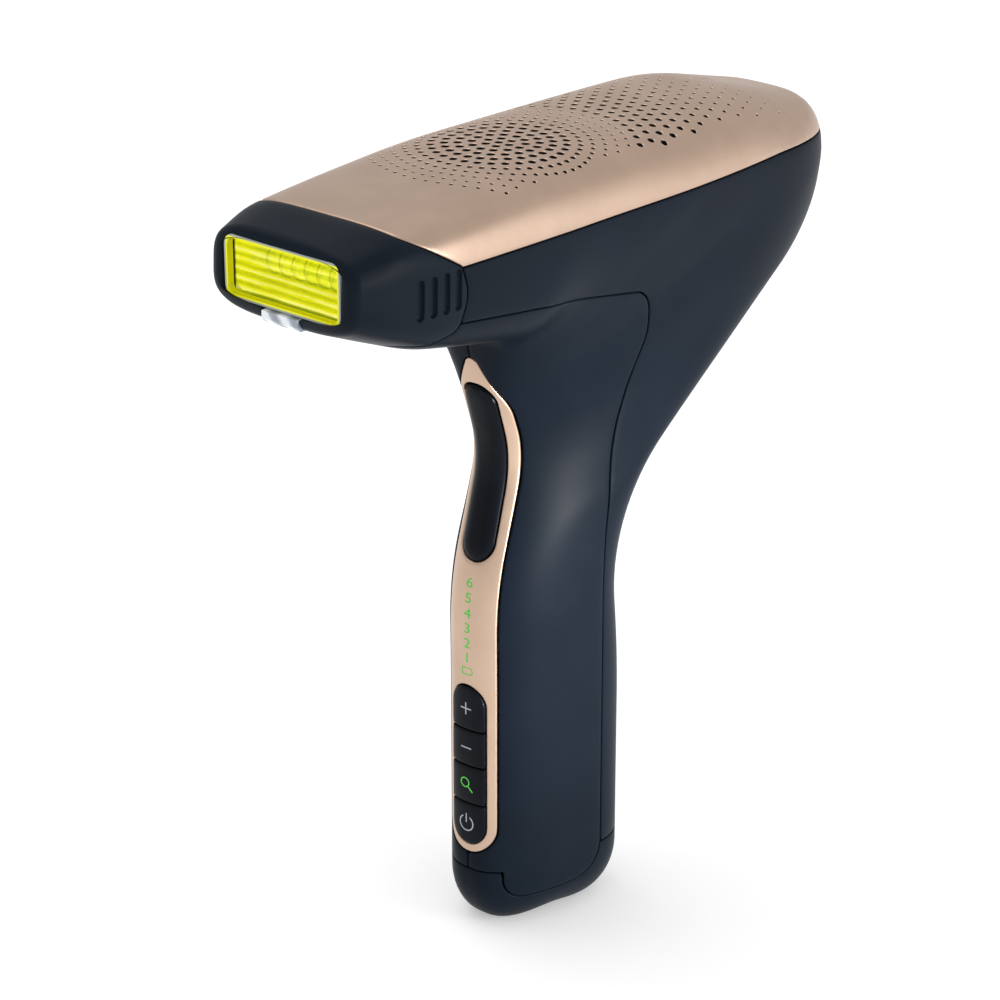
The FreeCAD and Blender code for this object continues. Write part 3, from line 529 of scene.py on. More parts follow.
def build_object(name: str, points: Array, faces: Array, front: int | None = None) -> bpy.types.Object:
    """A smooth-shaded mesh object at the origin; edges that turn by more than SHARP degrees stay sharp.

    Args:
        name: the piece's name.
        points: n by 3, in millimetres.
        faces: triangles or quads as rows of indices.
        front: how many faces the seen side has; the rest take inner black, painted shade on backs and hole
            walls.

    Returns:
        The object, linked to the scene.
    """
    mesh = bpy.data.meshes.new(name)
    mesh.from_pydata((points * MM).tolist(), [], faces.tolist())
    mesh.validate()
    mesh.polygons.foreach_set("use_smooth", np.ones(len(mesh.polygons), bool))
    mesh.set_sharp_from_angle(angle=math.radians(SHARP))
    if front is not None:
        # the back and walls take inner black: painted shade
        second = np.arange(len(mesh.polygons)) >= front
        mesh.materials.append(None)
        mesh.materials.append(Look.INNER_BLACK.material())
        mesh.polygons.foreach_set("material_index", second.astype(np.int32))
    mesh.update()
    return linked(name, mesh)


def contour(field_at: Callable[[Array, Array], Array], us: Array, vs: Array, grid: Array,
            level: float) -> tuple[Array, Array]:
    """Level line of a function of (u, v), by marching squares.

    Each grid side whose ends lie on two sides of the level holds one point, moved onto the level by false
    position. Each cell joins the points on its sides.

    Args:
        field_at: the function.
        us: grid values of u.
        vs: grid values of v.
        grid: the function on the grid, us by vs.
        level: the level.

    Returns:
        Points, n by 2, and the segments that join them.
    """
    above = grid > level
    numbers = {}
    starts, ends = [], []
    total = 0
    for axis in (0, 1):
        first = above[:-1] if axis == 0 else above[:, :-1]
        second = above[1:] if axis == 0 else above[:, 1:]
        i, j = np.nonzero(first != second)
        number = np.full(first.shape, -1)
        number[i, j] = np.arange(len(i)) + total
        total += len(i)
        numbers[axis] = number
        starts.append(np.stack([us[i], vs[j]], 1))
        ends.append(np.stack([us[i + 1], vs[j]] if axis == 0 else [us[i], vs[j + 1]], 1))
    start, end = np.concatenate(starts), np.concatenate(ends)
    if not total:
        return np.zeros((0, 2)), np.zeros((0, 2), int)
    low = field_at(start[:, 0], start[:, 1]) - level
    high = field_at(end[:, 0], end[:, 1]) - level
    for _ in range(5):
        share = np.clip(low / np.where(np.abs(low - high) < 1e-12, 1e-12, low - high), 0.02, 0.98)
        middle = start + (end - start) * share[:, None]
        value = field_at(middle[:, 0], middle[:, 1]) - level
        same = (value > 0) == (low > 0)
        start, low = np.where(same[:, None], middle, start), np.where(same, value, low)
        end, high = np.where(same[:, None], end, middle), np.where(same, high, value)
    share = low / np.where(np.abs(low - high) < 1e-12, 1e-12, low - high)
    points = start + (end - start) * share[:, None]
    along, across = numbers[0], numbers[1]
    sides = np.stack([across[:-1], along[:, 1:], across[1:], along[:, :-1]], -1)
    held = sides >= 0
    count = held.sum(-1)
    pairs = []
    two = sides[count == 2]
    if len(two):
        pairs.append(np.sort(two, axis=1)[:, 2:])
    four = sides[count == 4]
    if len(four):
        pairs += [four[:, :2], four[:, 2:]]
    return points, np.concatenate(pairs) if pairs else np.zeros((0, 2), int)


def triangulate(points: Array, segments: Array) -> tuple[Array, Array]:
    """Triangles over points in a plane that keep the given segments.

    Args:
        points: n by 2.
        segments: rows of two point numbers.

    Returns:
        Flat points and triangles.
    """
    corners, _, faces, *_ = delaunay_2d_cdt([Vector(point) for point in points.tolist()],
                                            segments.tolist(), [], 0, 1e-5, False)
    return np.array([tuple(corner) for corner in corners]), np.array(faces, int)


def pairs_of(first: Array, second: Array, indexing: str = "ij") -> Array:
    """Every pair of two sets of values, n by 2."""
    return np.stack(np.meshgrid(first, second, indexing=indexing), -1).reshape(-1, 2)


def joins(count: int, start: int = 0, closed: bool = True) -> Array:
    """Segments that join count points in order, from number start on."""
    index = np.arange(count) + start
    return np.stack([index, np.roll(index, -1)], 1)[:count if closed else count - 1]


def quads(rows: int, columns: int) -> Array:
    """The quads of a grid of points."""
    index = np.arange(rows * columns).reshape(rows, columns)
    return np.stack([index[:-1, :-1], index[1:, :-1], index[1:, 1:], index[:-1, 1:]], -1).reshape(-1, 4)


def faced(points: Array, faces: Array, outward: Array) -> Array:
    """Triangles turned so that they face outward, which is one direction or one a triangle.

    Args:
        points: n by 3.
        faces: triangles.
        outward: one direction, or one a triangle.

    Returns:
        The triangles.
    """
    corners = points[faces]
    facing = np.cross(corners[:, 1] - corners[:, 0], corners[:, 2] - corners[:, 0])
    return np.where(((facing * outward).sum(1) < 0)[:, None], faces[:, ::-1], faces)


def half_plate(ring: Array, loops: list[Array], lines: list[Array], grid: Array,
               gap: float) -> tuple[Array, Array]:
    """The right half of a flat plate with a hole.

    Args:
        ring: the rim's points in order, all on the right of the middle.
        loops: closed lines round the hole, the smallest first.
        lines: open lines that the triangles keep, one of them along the middle.
        grid: points to fill the plate with.
        gap: how far the filling stays from the largest loop.

    Returns:
        Flat points and triangles.
    """
    past, margin = -5.0, 0.5        # the rim closes beyond the middle; the filling stays off it
    shut = np.concatenate([ring, [[past, ring[-1, 1]], [past, ring[0, 1]]]])
    grid = grid[(outline_distance(grid, shut) < -margin) & (outline_distance(grid, loops[-1]) > gap)]
    parts, segments, total = [ring], [joins(len(ring), closed=False)], len(ring)
    for line, closed in [(loop, True) for loop in loops] + [(line, False) for line in lines]:
        parts.append(line)
        segments.append(joins(len(line), total, closed))
        total += len(line)
    flat, faces = triangulate(np.concatenate(parts + [grid]), np.concatenate(segments))
    centre = flat[faces].mean(1)
    on_plate = (outline_distance(centre, shut) < 0) & (outline_distance(centre, loops[0]) > 0)
    return flat, faces[on_plate & (centre[:, 0] > 0)]


@dataclass(frozen=True)
class Rounding:
    """A rounded edge: how far in from the edge it starts and how deep it goes."""

    reach: float = 0.3
    drop: float = 0.3
    STEPS = (0.0, 30.0, 60.0, 90.0)

    def levels(self) -> list[float]:
        """Distances from the edge where the mesh has a ring."""
        return [self.reach * (1 - math.cos(math.radians(step))) for step in self.STEPS]

    def depth(self, inside: Array) -> Array:
        """How deep the surface lies at a distance inside the edge: a quarter ellipse."""
        short = np.clip(1 - inside / self.reach, 0, 1)
        return self.drop * (1 - np.sqrt(np.maximum(1 - short ** 2, 0)))


@dataclass
class Patch:
    """A region of the skin: where it lies in (u, v), how far a point is inside it and how it is shaped."""

    inside: Callable[[Array], Array]
    u_range: tuple[float, float]
    v_range: tuple[float, float]
    edge: Rounding = Rounding()
    proud: float = 0.0
    spacing: tuple[float, float] = (1.6, 1.2)
    seam_step: float = 0.6
    relief: Callable[[Array], Array] | None = None
    relief_levels: tuple[float, ...] = ()
    relief_depth: Callable[[Array], Array] | None = None
    holes: Array | None = None          # rows of x, y, radius, on the outer rail's side
    hole_bevel: float = 0.14
    HOLE_POINTS = 14
    HOLE_CLEAR = 0.3                    # how far the filling stays from a hole's bevel
    HOLE_SHARE = 0.985                  # faces nearer to the centre than this share of the radius go
    BEVEL_SHARE = 0.8                   # depth of the bevel to its width
    FILL_CLEAR = 0.45                   # how far the filling stays from the edge, in grid steps
    LINE_CLEAR = 0.1
    RIM_CLEAR = 0.2
    PARTS = 20                          # blocks for the distances from the holes

    def _inside_at(self, u: Array, v: Array) -> Array:
        """The inside distance at (u, v)."""
        return self.inside(SKIN.place(u, v))

    def _lines(self) -> tuple[list[Array], list[Array]]:
        """Level lines of the region's edges and of its relief.

        Returns:
            For each line its points in (u, v) and its segments.
        """
        us, vs = (np.linspace(*span, int((span[1] - span[0]) / self.seam_step) + 2)
                  for span in (self.u_range, self.v_range))
        mesh = pairs_of(us, vs).T
        sets = [(self._inside_at, self.edge.levels())]
        if self.relief:
            sets.append((lambda u, v: self.relief(SKIN.place(u, v)), self.relief_levels))
        found = [contour(function, us, vs, grid, level) for function, levels in sets
                 for grid in [function(*mesh).reshape(len(us), len(vs))] for level in levels]
        return [points for points, _ in found], [segments for _, segments in found]

    def _rings(self) -> tuple[list[Array], list[Array], Array]:
        """Two rings round each hole, as points and closed runs, and the holes' centres in space.

        Returns:
            Points of both rings, their segments, and the holes' centres.
        """
        x, y, radius = self.holes.T
        u, v = SKIN.find(np.stack([x, y], 1), (0, 1), np.interp(y, *self._top_line()), SKIN.GIRTH - x)
        along, around = SKIN.slopes(u, v)
        first, second = unit(np.cross(around, np.cross(along, around))), unit(around)
        angle = np.linspace(0, 2 * math.pi, self.HOLE_POINTS, endpoint=False)[None, :, None]
        aa, ab, bb = (along ** 2).sum(1), (along * around).sum(1), (around ** 2).sum(1)
        det = (aa * bb - ab * ab)[:, None]
        index = np.arange(len(u) * self.HOLE_POINTS).reshape(-1, self.HOLE_POINTS)
        run = np.stack([index, np.roll(index, -1, axis=1)], -1).reshape(-1, 2)
        points = []
        for grown in (0.0, self.hole_bevel):
            off = (radius + grown)[:, None, None] * (np.cos(angle) * first[:, None]
                                                     + np.sin(angle) * second[:, None])
            pa, pb = (off * along[:, None]).sum(2), (off * around[:, None]).sum(2)
            du, dv = (pa * bb[:, None] - pb * ab[:, None]) / det, (pb * aa[:, None] - pa * ab[:, None]) / det
            points.append(np.stack([u[:, None] + du, v[:, None] + dv], -1).reshape(-1, 2))
        return points, [run, run], SKIN.place(u, v)

    @staticmethod
    def _top_line() -> tuple[Array, Array]:
        """Y and u along the outer rail, over the head's top.

        Returns:
            Rising values of Y, and u at each.
        """
        u = np.linspace(0, 0.6 * SKIN.LENGTH, 400)
        rising = np.maximum.accumulate(SKIN.place(u, np.full(400, SKIN.GIRTH))[:, 1])
        keep = np.r_[True, np.diff(rising) > 1e-6]
        return rising[keep], u[keep]

    def _hole_gap(self, points: Array, centre: Array, share: float = 1.0) -> Array:
        """Distance of points from the nearest hole, its radius taken at a share.

        Args:
            points: n by 3, in millimetres.
            centre: the holes' centres.
            share: how much of each radius counts.

        Returns:
            n distances, below zero inside a hole.
        """
        if self.holes is None:
            return np.full(len(points), np.inf)
        radius = self.holes[:, 2] * share
        return np.concatenate([(np.linalg.norm(part[:, None] - centre, axis=2) - radius).min(1)
                               for part in np.array_split(points, self.PARTS)])

    def sheet(self) -> Sheet:
        """The region as an open surface with rounded edges, relief and holes.

        Returns:
            The sheet, with its wall direction.
        """
        lines, runs = self._lines()
        centre = np.zeros((0, 3))
        if self.holes is not None:
            rings, closed, centre = self._rings()
            lines, runs = lines + rings, runs + closed
        offsets = np.cumsum([0] + [len(line) for line in lines])
        segments = np.concatenate([run + offset for run, offset in zip(runs, offsets)])
        us = np.arange(self.u_range[0], self.u_range[1] + 1e-6, self.spacing[0])
        vs = np.linspace(*self.v_range, int((self.v_range[1] - self.v_range[0]) / self.spacing[1]) + 1)
        grid = pairs_of(us, vs)
        space = SKIN.place(*grid.T)
        keep = ((self.inside(space) > self.edge.reach + self.FILL_CLEAR * min(self.spacing))
                & (self._hole_gap(space, centre) > self.hole_bevel + self.HOLE_CLEAR))
        if self.relief:
            relief = self.relief(space)
            for level in self.relief_levels:
                keep &= np.abs(relief - level) > self.LINE_CLEAR
        rim = np.concatenate([pairs_of(us, self.v_range), pairs_of(self.u_range, vs)])
        rim = rim[self._inside_at(*rim.T) > self.edge.reach + self.RIM_CLEAR]
        flat, faces = triangulate(np.concatenate(lines + [grid[keep], rim]), segments)
        middles = SKIN.place(*flat[faces].mean(1).T)
        faces = faces[(self.inside(middles) > 1e-4) & (self._hole_gap(middles, centre, self.HOLE_SHARE) > 0)]
        points, normal = SKIN.place(*flat.T), SKIN.normal(*flat.T)
        depth = self.edge.depth(np.maximum(self.inside(points), 0)) - self.proud
        if self.relief:
            depth = depth + self.relief_depth(self.relief(points))
        lip = np.clip(1 - self._hole_gap(points, centre) / self.hole_bevel, 0, 1)
        points = points - normal * (depth + lip * self.hole_bevel * self.BEVEL_SHARE)[:, None]
        return Sheet(points, -normal, faced(points, faces, normal[faces].sum(1))).welded(1e-3)


# ------------------------------------------------------------------ shader wiring
class Bench:
    """Adds nodes to one material."""

    def __init__(self, name: str) -> None:
        """Starts an empty material with its output.

        Args:
            name: the material's name.
        """
        self.material = bpy.data.materials.new(name)
        self.material.use_nodes = True
        self.tree = self.material.node_tree
        self.tree.nodes.clear()
        self.output = self.tree.nodes.new("ShaderNodeOutputMaterial")

    def node(self, kind: str, settings: dict | None = None, inputs: dict | None = None) -> bpy.types.Node:
        """Any node, with its settings and then its sockets' values or links.

        Args:
            kind: the node's type.
            settings: the node's properties.
            inputs: socket name or number to a value, a Wire or a socket.

        Returns:
            The node.
        """
        made = self.tree.nodes.new(kind)
        for key, value in (settings or {}).items():
            setattr(made, key, value)
        for key, value in (inputs or {}).items():
            source = value.socket if isinstance(value, Wire) else value
            if isinstance(source, bpy.types.NodeSocket):
                self.tree.links.new(source, made.inputs[key])
            else:
                made.inputs[key].default_value = source
        return made

    def place(self) -> "Wire":
        """The point in the object's own coordinates, in metres."""
        return Wire(self, self.node("ShaderNodeTexCoord").outputs["Object"])

    def stretched(self, by: tuple[float, float, float]) -> "Wire":
        """The point, scaled along each axis."""
        made = self.node("ShaderNodeVectorMath", {"operation": "MULTIPLY"}, {0: self.place(), 1: by})
        return Wire(self, made.outputs[0])

    def axis(self, index: int) -> "Wire":
        """One coordinate of the point, in metres."""
        return Wire(self, self.node("ShaderNodeSeparateXYZ", None, {0: self.place()}).outputs[index])

    def noise(self, scale: float, detail: float, rough: float = 0.5, where: "Wire | None" = None) -> "Wire":
        """Noise from 0 to 1 at a scale in cycles per metre.

        Args:
            scale: cycles per metre.
            detail: octaves.
            rough: how much the finer octaves weigh.
            where: the point, or the object's own coordinates.

        Returns:
            The noise.
        """
        inputs = {"Vector": where or self.place(), "Scale": scale, "Detail": detail, "Roughness": rough}
        made = self.node("ShaderNodeTexNoise", {"noise_dimensions": "3D"}, inputs)
        return Wire(self, made.outputs["Fac"])

    def mix(self, factor: "Wire", first: "Wire | Colour", second: "Wire | Colour") -> "Wire":
        """Blend of two colours.

        Args:
            factor: 0 for the first, 1 for the second.
            first: a wire or three channels.
            second: a wire or three channels.

        Returns:
            The blend.
        """
        first, second = (end if isinstance(end, Wire) else (*end, 1) for end in (first, second))
        made = self.node("ShaderNodeMix", {"data_type": "RGBA"}, {0: factor, 6: first, 7: second})
        return Wire(self, made.outputs[2])

    def bump(self, height: "Wire", distance: float) -> bpy.types.NodeSocket:
        """A normal from a height, which is distance metres at 1."""
        made = self.node("ShaderNodeBump", None, {"Strength": 1.0, "Distance": distance, "Height": height})
        return made.outputs["Normal"]

    def finish(self, inputs: dict) -> bpy.types.Material:
        """Ends the material in one Principled shader.

        Args:
            inputs: socket name to a value or a wire.

        Returns:
            The material.
        """
        shader = self.node("ShaderNodeBsdfPrincipled", None, inputs)
        self.tree.links.new(shader.outputs[0], self.output.inputs["Surface"])
        return self.material


class Wire:
    """A value in the shader, with arithmetic."""

    def __init__(self, bench: Bench, socket: bpy.types.NodeSocket) -> None:
        """Wraps a socket."""
        self.bench = bench
        self.socket = socket

    def _maths(self, operation: str, *values: "Wire | float") -> "Wire":
        """A Math node over values."""
        made = self.bench.node("ShaderNodeMath", {"operation": operation}, dict(enumerate(values)))
        return Wire(self.bench, made.outputs[0])

    def __add__(self, other: "Wire | float") -> "Wire":
        """self + other."""
        return self._maths("ADD", self, other)

    __radd__ = __add__

    def __sub__(self, other: "Wire | float") -> "Wire":
        """self - other."""
        return self._maths("SUBTRACT", self, other)

    def __rsub__(self, other: float) -> "Wire":
        """other - self."""
        return self._maths("SUBTRACT", other, self)

    def __mul__(self, other: "Wire | float") -> "Wire":
        """self * other."""
        return self._maths("MULTIPLY", self, other)

    __rmul__ = __mul__

    def size(self) -> "Wire":
        """The value without its sign."""
        return self._maths("ABSOLUTE", self)

    def larger(self, other: "Wire") -> "Wire":
        """The larger of two values."""
        return self._maths("MAXIMUM", self, other)

    def wave(self, pitch: float, shift: "Wire | None" = None) -> "Wire":
        """A sine wave from 0 to 1 with a pitch in metres, moved on by a shift in radians.

        Args:
            pitch: in metres.
            shift: in radians, or none.

        Returns:
            The wave.
        """
        turn = self * (2 * math.pi / pitch)
        turn = turn + shift if shift else turn
        return self._maths("SINE", turn) * 0.5 + 0.5

    def rise(self, low: float, high: float) -> "Wire":
        """0 below low, 1 above high, smooth between.

        Args:
            low: where it starts.
            high: where it ends.

        Returns:
            The step.
        """
        made = self.bench.node("ShaderNodeMapRange", {"interpolation_type": "SMOOTHSTEP"},
                               {"Value": self, "From Min": low, "From Max": high})
        return Wire(self.bench, made.outputs[0])


Colour = tuple[float, float, float]


def paint(red: int, green: int, blue: int) -> Colour:
    """A display colour, 0 to 255 a channel, as a linear one."""
    return tuple(((value / 255 + 0.055) / 1.055) ** 2.4 if value > 10 else value / 255 / 12.92
                 for value in (red, green, blue))


@dataclass(frozen=True)
class Finish:
    """A moulded, painted or metal surface: two tones, gloss and a fine grain."""

    tone: Colour
    second: Colour
    rough: float = 0.45
    rough_spread: float = 0.08
    metal: float = 0.0
    coat: float = 0.0
    coat_rough: float = 0.2
    grain: float = 4500.0       # cycles per metre
    grain_height: float = 6e-6
    cloud: float = 60.0         # cycles per metre of the slow change of tone
    through: float = 0.0        # transmission
    ior: float = 1.45
    glow: float = 0.0
    shine: float = 0.5

    def inputs(self, bench: Bench) -> dict:
        """The Principled sockets of this finish.

        Args:
            bench: the material's bench.

        Returns:
            Socket name to a value or a wire.
        """
        slow = bench.noise(self.cloud, 4.0, 0.55)
        fine = bench.noise(self.grain, 2.0, 0.6)
        colour = bench.mix((slow * 0.75 + fine * 0.25).rise(0.3, 0.7), self.tone, self.second)
        rough = slow * self.rough_spread + (self.rough - self.rough_spread / 2)
        values = {"Base Color": colour, "Roughness": rough, "Metallic": self.metal, "IOR": self.ior,
                  "Coat Weight": self.coat, "Coat Roughness": self.coat_rough,
                  "Transmission Weight": self.through, "Specular IOR Level": self.shine}
        if self.grain_height:
            values["Normal"] = bench.bump(fine, self.grain_height)
        if self.glow:
            values |= {"Emission Color": colour, "Emission Strength": self.glow}
        return values


@dataclass(frozen=True)
class GlassWithPaintedReflections(Finish):
    """Tinted glass that glows, with painted reflections: streaks of green, yellow and white along X on its
    back face.
    """

    back: float = 0.0               # Y of the back face, in metres
    half_width: float = 0.0152      # of the part that glows with painted reflections
    pitch: float = 0.0021
    # tones of the painted reflections: white glints and dark green bands
    painted_glint: Colour = (0.98, 0.98, 0.62)
    painted_reflection_dark: Colour = (0.33, 0.42, 0.01)

    def inputs(self, bench: Bench) -> dict:
        """Painted reflections as glowing streaks on the back face; the sides stay plain.

        Args:
            bench: the material's bench.

        Returns:
            Socket name to a value or a wire.
        """
        # painted reflections: glowing streaks of green, yellow and white along X
        painted_streak = bench.noise(1300.0, 4.0, 0.75, bench.stretched((0.05, 0.3, 1.0)))
        speck = bench.noise(1500.0, 2.0, 0.6)
        mixed = bench.axis(2).wave(self.pitch, painted_streak * 3.5) * 0.5 + painted_streak * 0.8 + speck * 0.3
        tone = bench.mix(mixed.rise(0.55, 0.82), self.painted_reflection_dark, self.second)
        tone = bench.mix(mixed.rise(0.88, 1.08), tone, self.painted_glint)
        inside = 1 - bench.axis(0).size().rise(self.half_width - 0.0003, self.half_width)
        shown = bench.axis(1).rise(self.back - 2e-4, self.back - 1e-4) * inside
        return Finish.inputs(self, bench) | {"Emission Color": bench.mix(shown, (0, 0, 0), tone)}


@dataclass(frozen=True)
class SealWithPaintedGlow(Finish):
    """Clear seal round the glass, painted with a glow: yellow inside, pale at its front edge."""

    half_width: float = 0.01592
    half_height: float = 0.00637
    level: float = 0.175
    rim: Colour = (0.26, 0.28, 0.25)

    def inputs(self, bench: Bench) -> dict:
        """A pale line round the outside and yellow within it; both glow, as painted light.

        Args:
            bench: the material's bench.

        Returns:
            Socket name to a value or a wire.
        """
        outside = (bench.axis(0).size().rise(self.half_width, self.half_width + 1e-4)
                   + (bench.axis(2) - self.level).size().rise(self.half_height, self.half_height + 1e-4))
        # painted glow: the seal's yellow and its pale line both emit
        tone = bench.mix(outside.rise(0.0, 1.0), self.tone, self.rim)
        return Finish.inputs(self, bench) | {"Base Color": tone, "Emission Color": tone}


@dataclass(frozen=True)
class Patterned(Finish):
    """A finish whose tones and relief follow a pattern."""

    pitch: float = 0.001        # metres
    relief: float = 3e-5        # metres

    def pattern(self, bench: Bench) -> tuple[Wire, Wire]:
        """The pattern from 0 to 1, for the tones and for the relief."""
        raise NotImplementedError

    def inputs(self, bench: Bench) -> dict:
        """The plain sockets, with the pattern in tone and in relief.

        Args:
            bench: the material's bench.

        Returns:
            Socket name to a value or a wire.
        """
        shade, height = self.pattern(bench)
        return Finish.inputs(self, bench) | {"Base Color": bench.mix(shade, self.tone, self.second),
                                             "Normal": bench.bump(height, self.relief)}


class PrismWithPaintedGlints(Patterned):
    """Clear moulded window with slanted facets in its relief and painted glints: light slanted bands in its
    colour.
    """

    def pattern(self, bench: Bench) -> tuple[Wire, Wire]:
        """Slanted bands across X and Z: painted glints in the tone, facets in the relief."""
        wave = (bench.axis(0) + bench.axis(2) * 0.9 + bench.noise(500.0, 2.0) * 0.0012).wave(self.pitch)
        return wave.rise(0.1, 0.95), wave


class Board(Patterned):
    """Circuit board: solder mask with lighter tracks in both directions."""

    def pattern(self, bench: Bench) -> tuple[Wire, Wire]:
        """Tracks where noise stretched along X or Z crosses a level.

        Args:
            bench: the material's bench.

        Returns:
            The tracks, twice.
        """
        first, second = (bench.noise(1400.0, 0.0, 0.5, bench.stretched(by)).rise(0.56, 0.6)
                         for by in ((0.12, 1.0, 1.0), (1.0, 0.12, 0.12)))
        tracks = first.larger(second)
        return tracks, tracks


class Winding(Patterned):
    """Enamelled copper: turns side by side."""

    def pattern(self, bench: Bench) -> tuple[Wire, Wire]:
        """Turns as a wave across the coil."""
        turns = (bench.axis(1) + bench.axis(2) * 0.2).wave(self.pitch)
        return turns, turns


class Look(Enum):
    """Every finish on the part, named after the record's slots; three more are for prints and the floor."""

    CASING_NAVY = Finish(paint(15, 22, 31), paint(17, 25, 35), rough=0.4, rough_spread=0.06, grain=5200,
                         grain_height=5e-6, shine=0.06)
    ATTACHMENT_NAVY = Finish(paint(15, 23, 32), paint(17, 26, 36), rough=0.38, rough_spread=0.06, grain=5200,
                             grain_height=5e-6, shine=0.08)
    INNER_BLACK = Finish(paint(20, 22, 26), paint(27, 30, 34), rough=0.5, grain=3500, grain_height=8e-6)
    COVER_GOLD = Finish(paint(192, 166, 147), paint(184, 158, 139), rough=0.36, rough_spread=0.05, metal=0.85,
                        grain=7000, grain_height=2.5e-6, cloud=90)
    STRIP_GOLD = Finish(paint(200, 173, 152), paint(192, 165, 144), rough=0.34, rough_spread=0.05, metal=0.82,
                        grain=7000, grain_height=2.5e-6, cloud=90)
    KEY_BLACK = Finish(paint(8, 11, 17), paint(11, 15, 22), rough=0.28, rough_spread=0.05, grain=6000,
                       grain_height=2e-6, shine=0.1)
    # The filter glass glows, with painted reflections on its back face: painted light.
    FILTER_YELLOW = GlassWithPaintedReflections(paint(250, 250, 150), paint(228, 228, 14), rough=0.04, rough_spread=0.02,
                                through=1.0, ior=1.1, grain=900, grain_height=0.0, glow=0.62,
                                back=edge("filter_glass", 1, True) * MM)
    LAMP_GLASS = Finish(paint(250, 252, 235), paint(240, 246, 225), rough=0.06, rough_spread=0.03,
                        through=0.85, grain=900, grain_height=0.0, glow=0.06)
    # painted glints: slanted bands from grey to near white
    SENSOR_CLEAR = PrismWithPaintedGlints(paint(150, 158, 170), paint(238, 242, 250), rough=0.25, rough_spread=0.04,
                              coat=0.4, coat_rough=0.1, grain=700, grain_height=0.0, cloud=500, pitch=0.0058,
                              relief=4e-5)
    GUIDE_CLEAR = Finish(paint(225, 235, 230), paint(235, 243, 238), rough=0.2, through=0.7)
    # painted glow: the reflector shines faintly yellow
    REFLECTOR_MIRROR = Finish(paint(196, 190, 8), paint(206, 202, 22), rough=0.3, metal=0.1, glow=0.1,
                              cloud=400)
    # painted glow: the seal shines yellow where the recess round the glass would be in shade
    SEAL_RUBBER = SealWithPaintedGlow(paint(214, 212, 10), paint(206, 206, 16), rough=0.5, grain=3000,
                             grain_height=1e-5, glow=0.35)
    STEEL = Finish(paint(150, 152, 155), paint(172, 174, 178), rough=0.3, metal=1.0)
    COPPER_WIRE = Winding(paint(150, 84, 44), paint(206, 130, 80), rough=0.3, metal=1.0, pitch=0.0004,
                          relief=8e-5)
    FERRITE = Finish(paint(46, 46, 49), paint(60, 60, 64), rough=0.6, grain_height=1.5e-5)
    BOARD_GREEN = Board(paint(18, 78, 46), paint(48, 124, 78), rough=0.35, coat=0.4)
    HEAT_ALUMINIUM = Finish(paint(176, 178, 181), paint(200, 202, 205), rough=0.38, metal=1.0, grain=2500,
                            grain_height=8e-6)
    SLEEVE_BLUE = Finish(paint(28, 64, 128), paint(36, 78, 150), rough=0.3, coat=0.3)
    MAT_GREY = Finish(paint(118, 120, 122), paint(134, 136, 138), rough=0.65)
    PRINT_GREEN = Finish(paint(66, 176, 52), paint(76, 190, 62), rough=0.5, glow=0.15)
    PRINT_GREY = Finish(paint(150, 160, 170), paint(168, 178, 187), rough=0.5)
    FLOOR_PALE = Finish(paint(236, 236, 236), paint(238, 238, 238), rough=0.7, grain=40, cloud=2,
                        grain_height=0.0, rough_spread=0.02, glow=0.4, shine=0.1)

    @property
    def slot(self) -> str:
        """The record's slot."""
        return self.name.lower()

    def material(self) -> bpy.types.Material:
        """The finish as a material, made once.

        Returns:
            The material.
        """
        name = "finish_" + self.slot
        if name not in bpy.data.materials:
            bench = Bench(name)
            bench.finish(self.value.inputs(bench))
        return bpy.data.materials[name]

    def dress(self, thing: bpy.types.Object) -> None:
        """Gives an object this finish; a second finish on it stays.

        Args:
            thing: the object.
        """
        if len(thing.data.materials):
            thing.data.materials[0] = self.material()
        else:
            thing.data.materials.append(self.material())


def fit(thing: bpy.types.Object, look: Look, body: str, node: str | None = None) -> None:
    """Dresses a new piece and says what it is.

    Args:
        thing: the piece.
        look: its finish.
        body: the body that it rides on.
        node: the CAD node that it replaces, if any.
    """
    look.dress(thing)
    if node:
        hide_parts(node)
    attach(thing, body)
    log.info("%s: %d faces", thing.name, len(thing.data.polygons))


# ------------------------------------------------------------------ casing
ALL_U = (0.0, SKIN.LENGTH + SKIN.FOOT)
ALL_V = (0.0, SKIN.GIRTH)


def u_at_height(value: float) -> float:
    """The u where the inner rail passes a height, on the handle."""
    us = np.linspace(0.3 * SKIN.LENGTH, ALL_U[1], 2000)
    return float(us[np.argmin(np.abs(SKIN.place(us, np.zeros(2000))[:, 2] - value))])


def off_strip(points: Array) -> Array:
    """Distance outside the strip's room, on the front half only."""
    return np.where(points[:, 1] < 0, STRIP_FRONT.away(points) - SEAM, FAR)


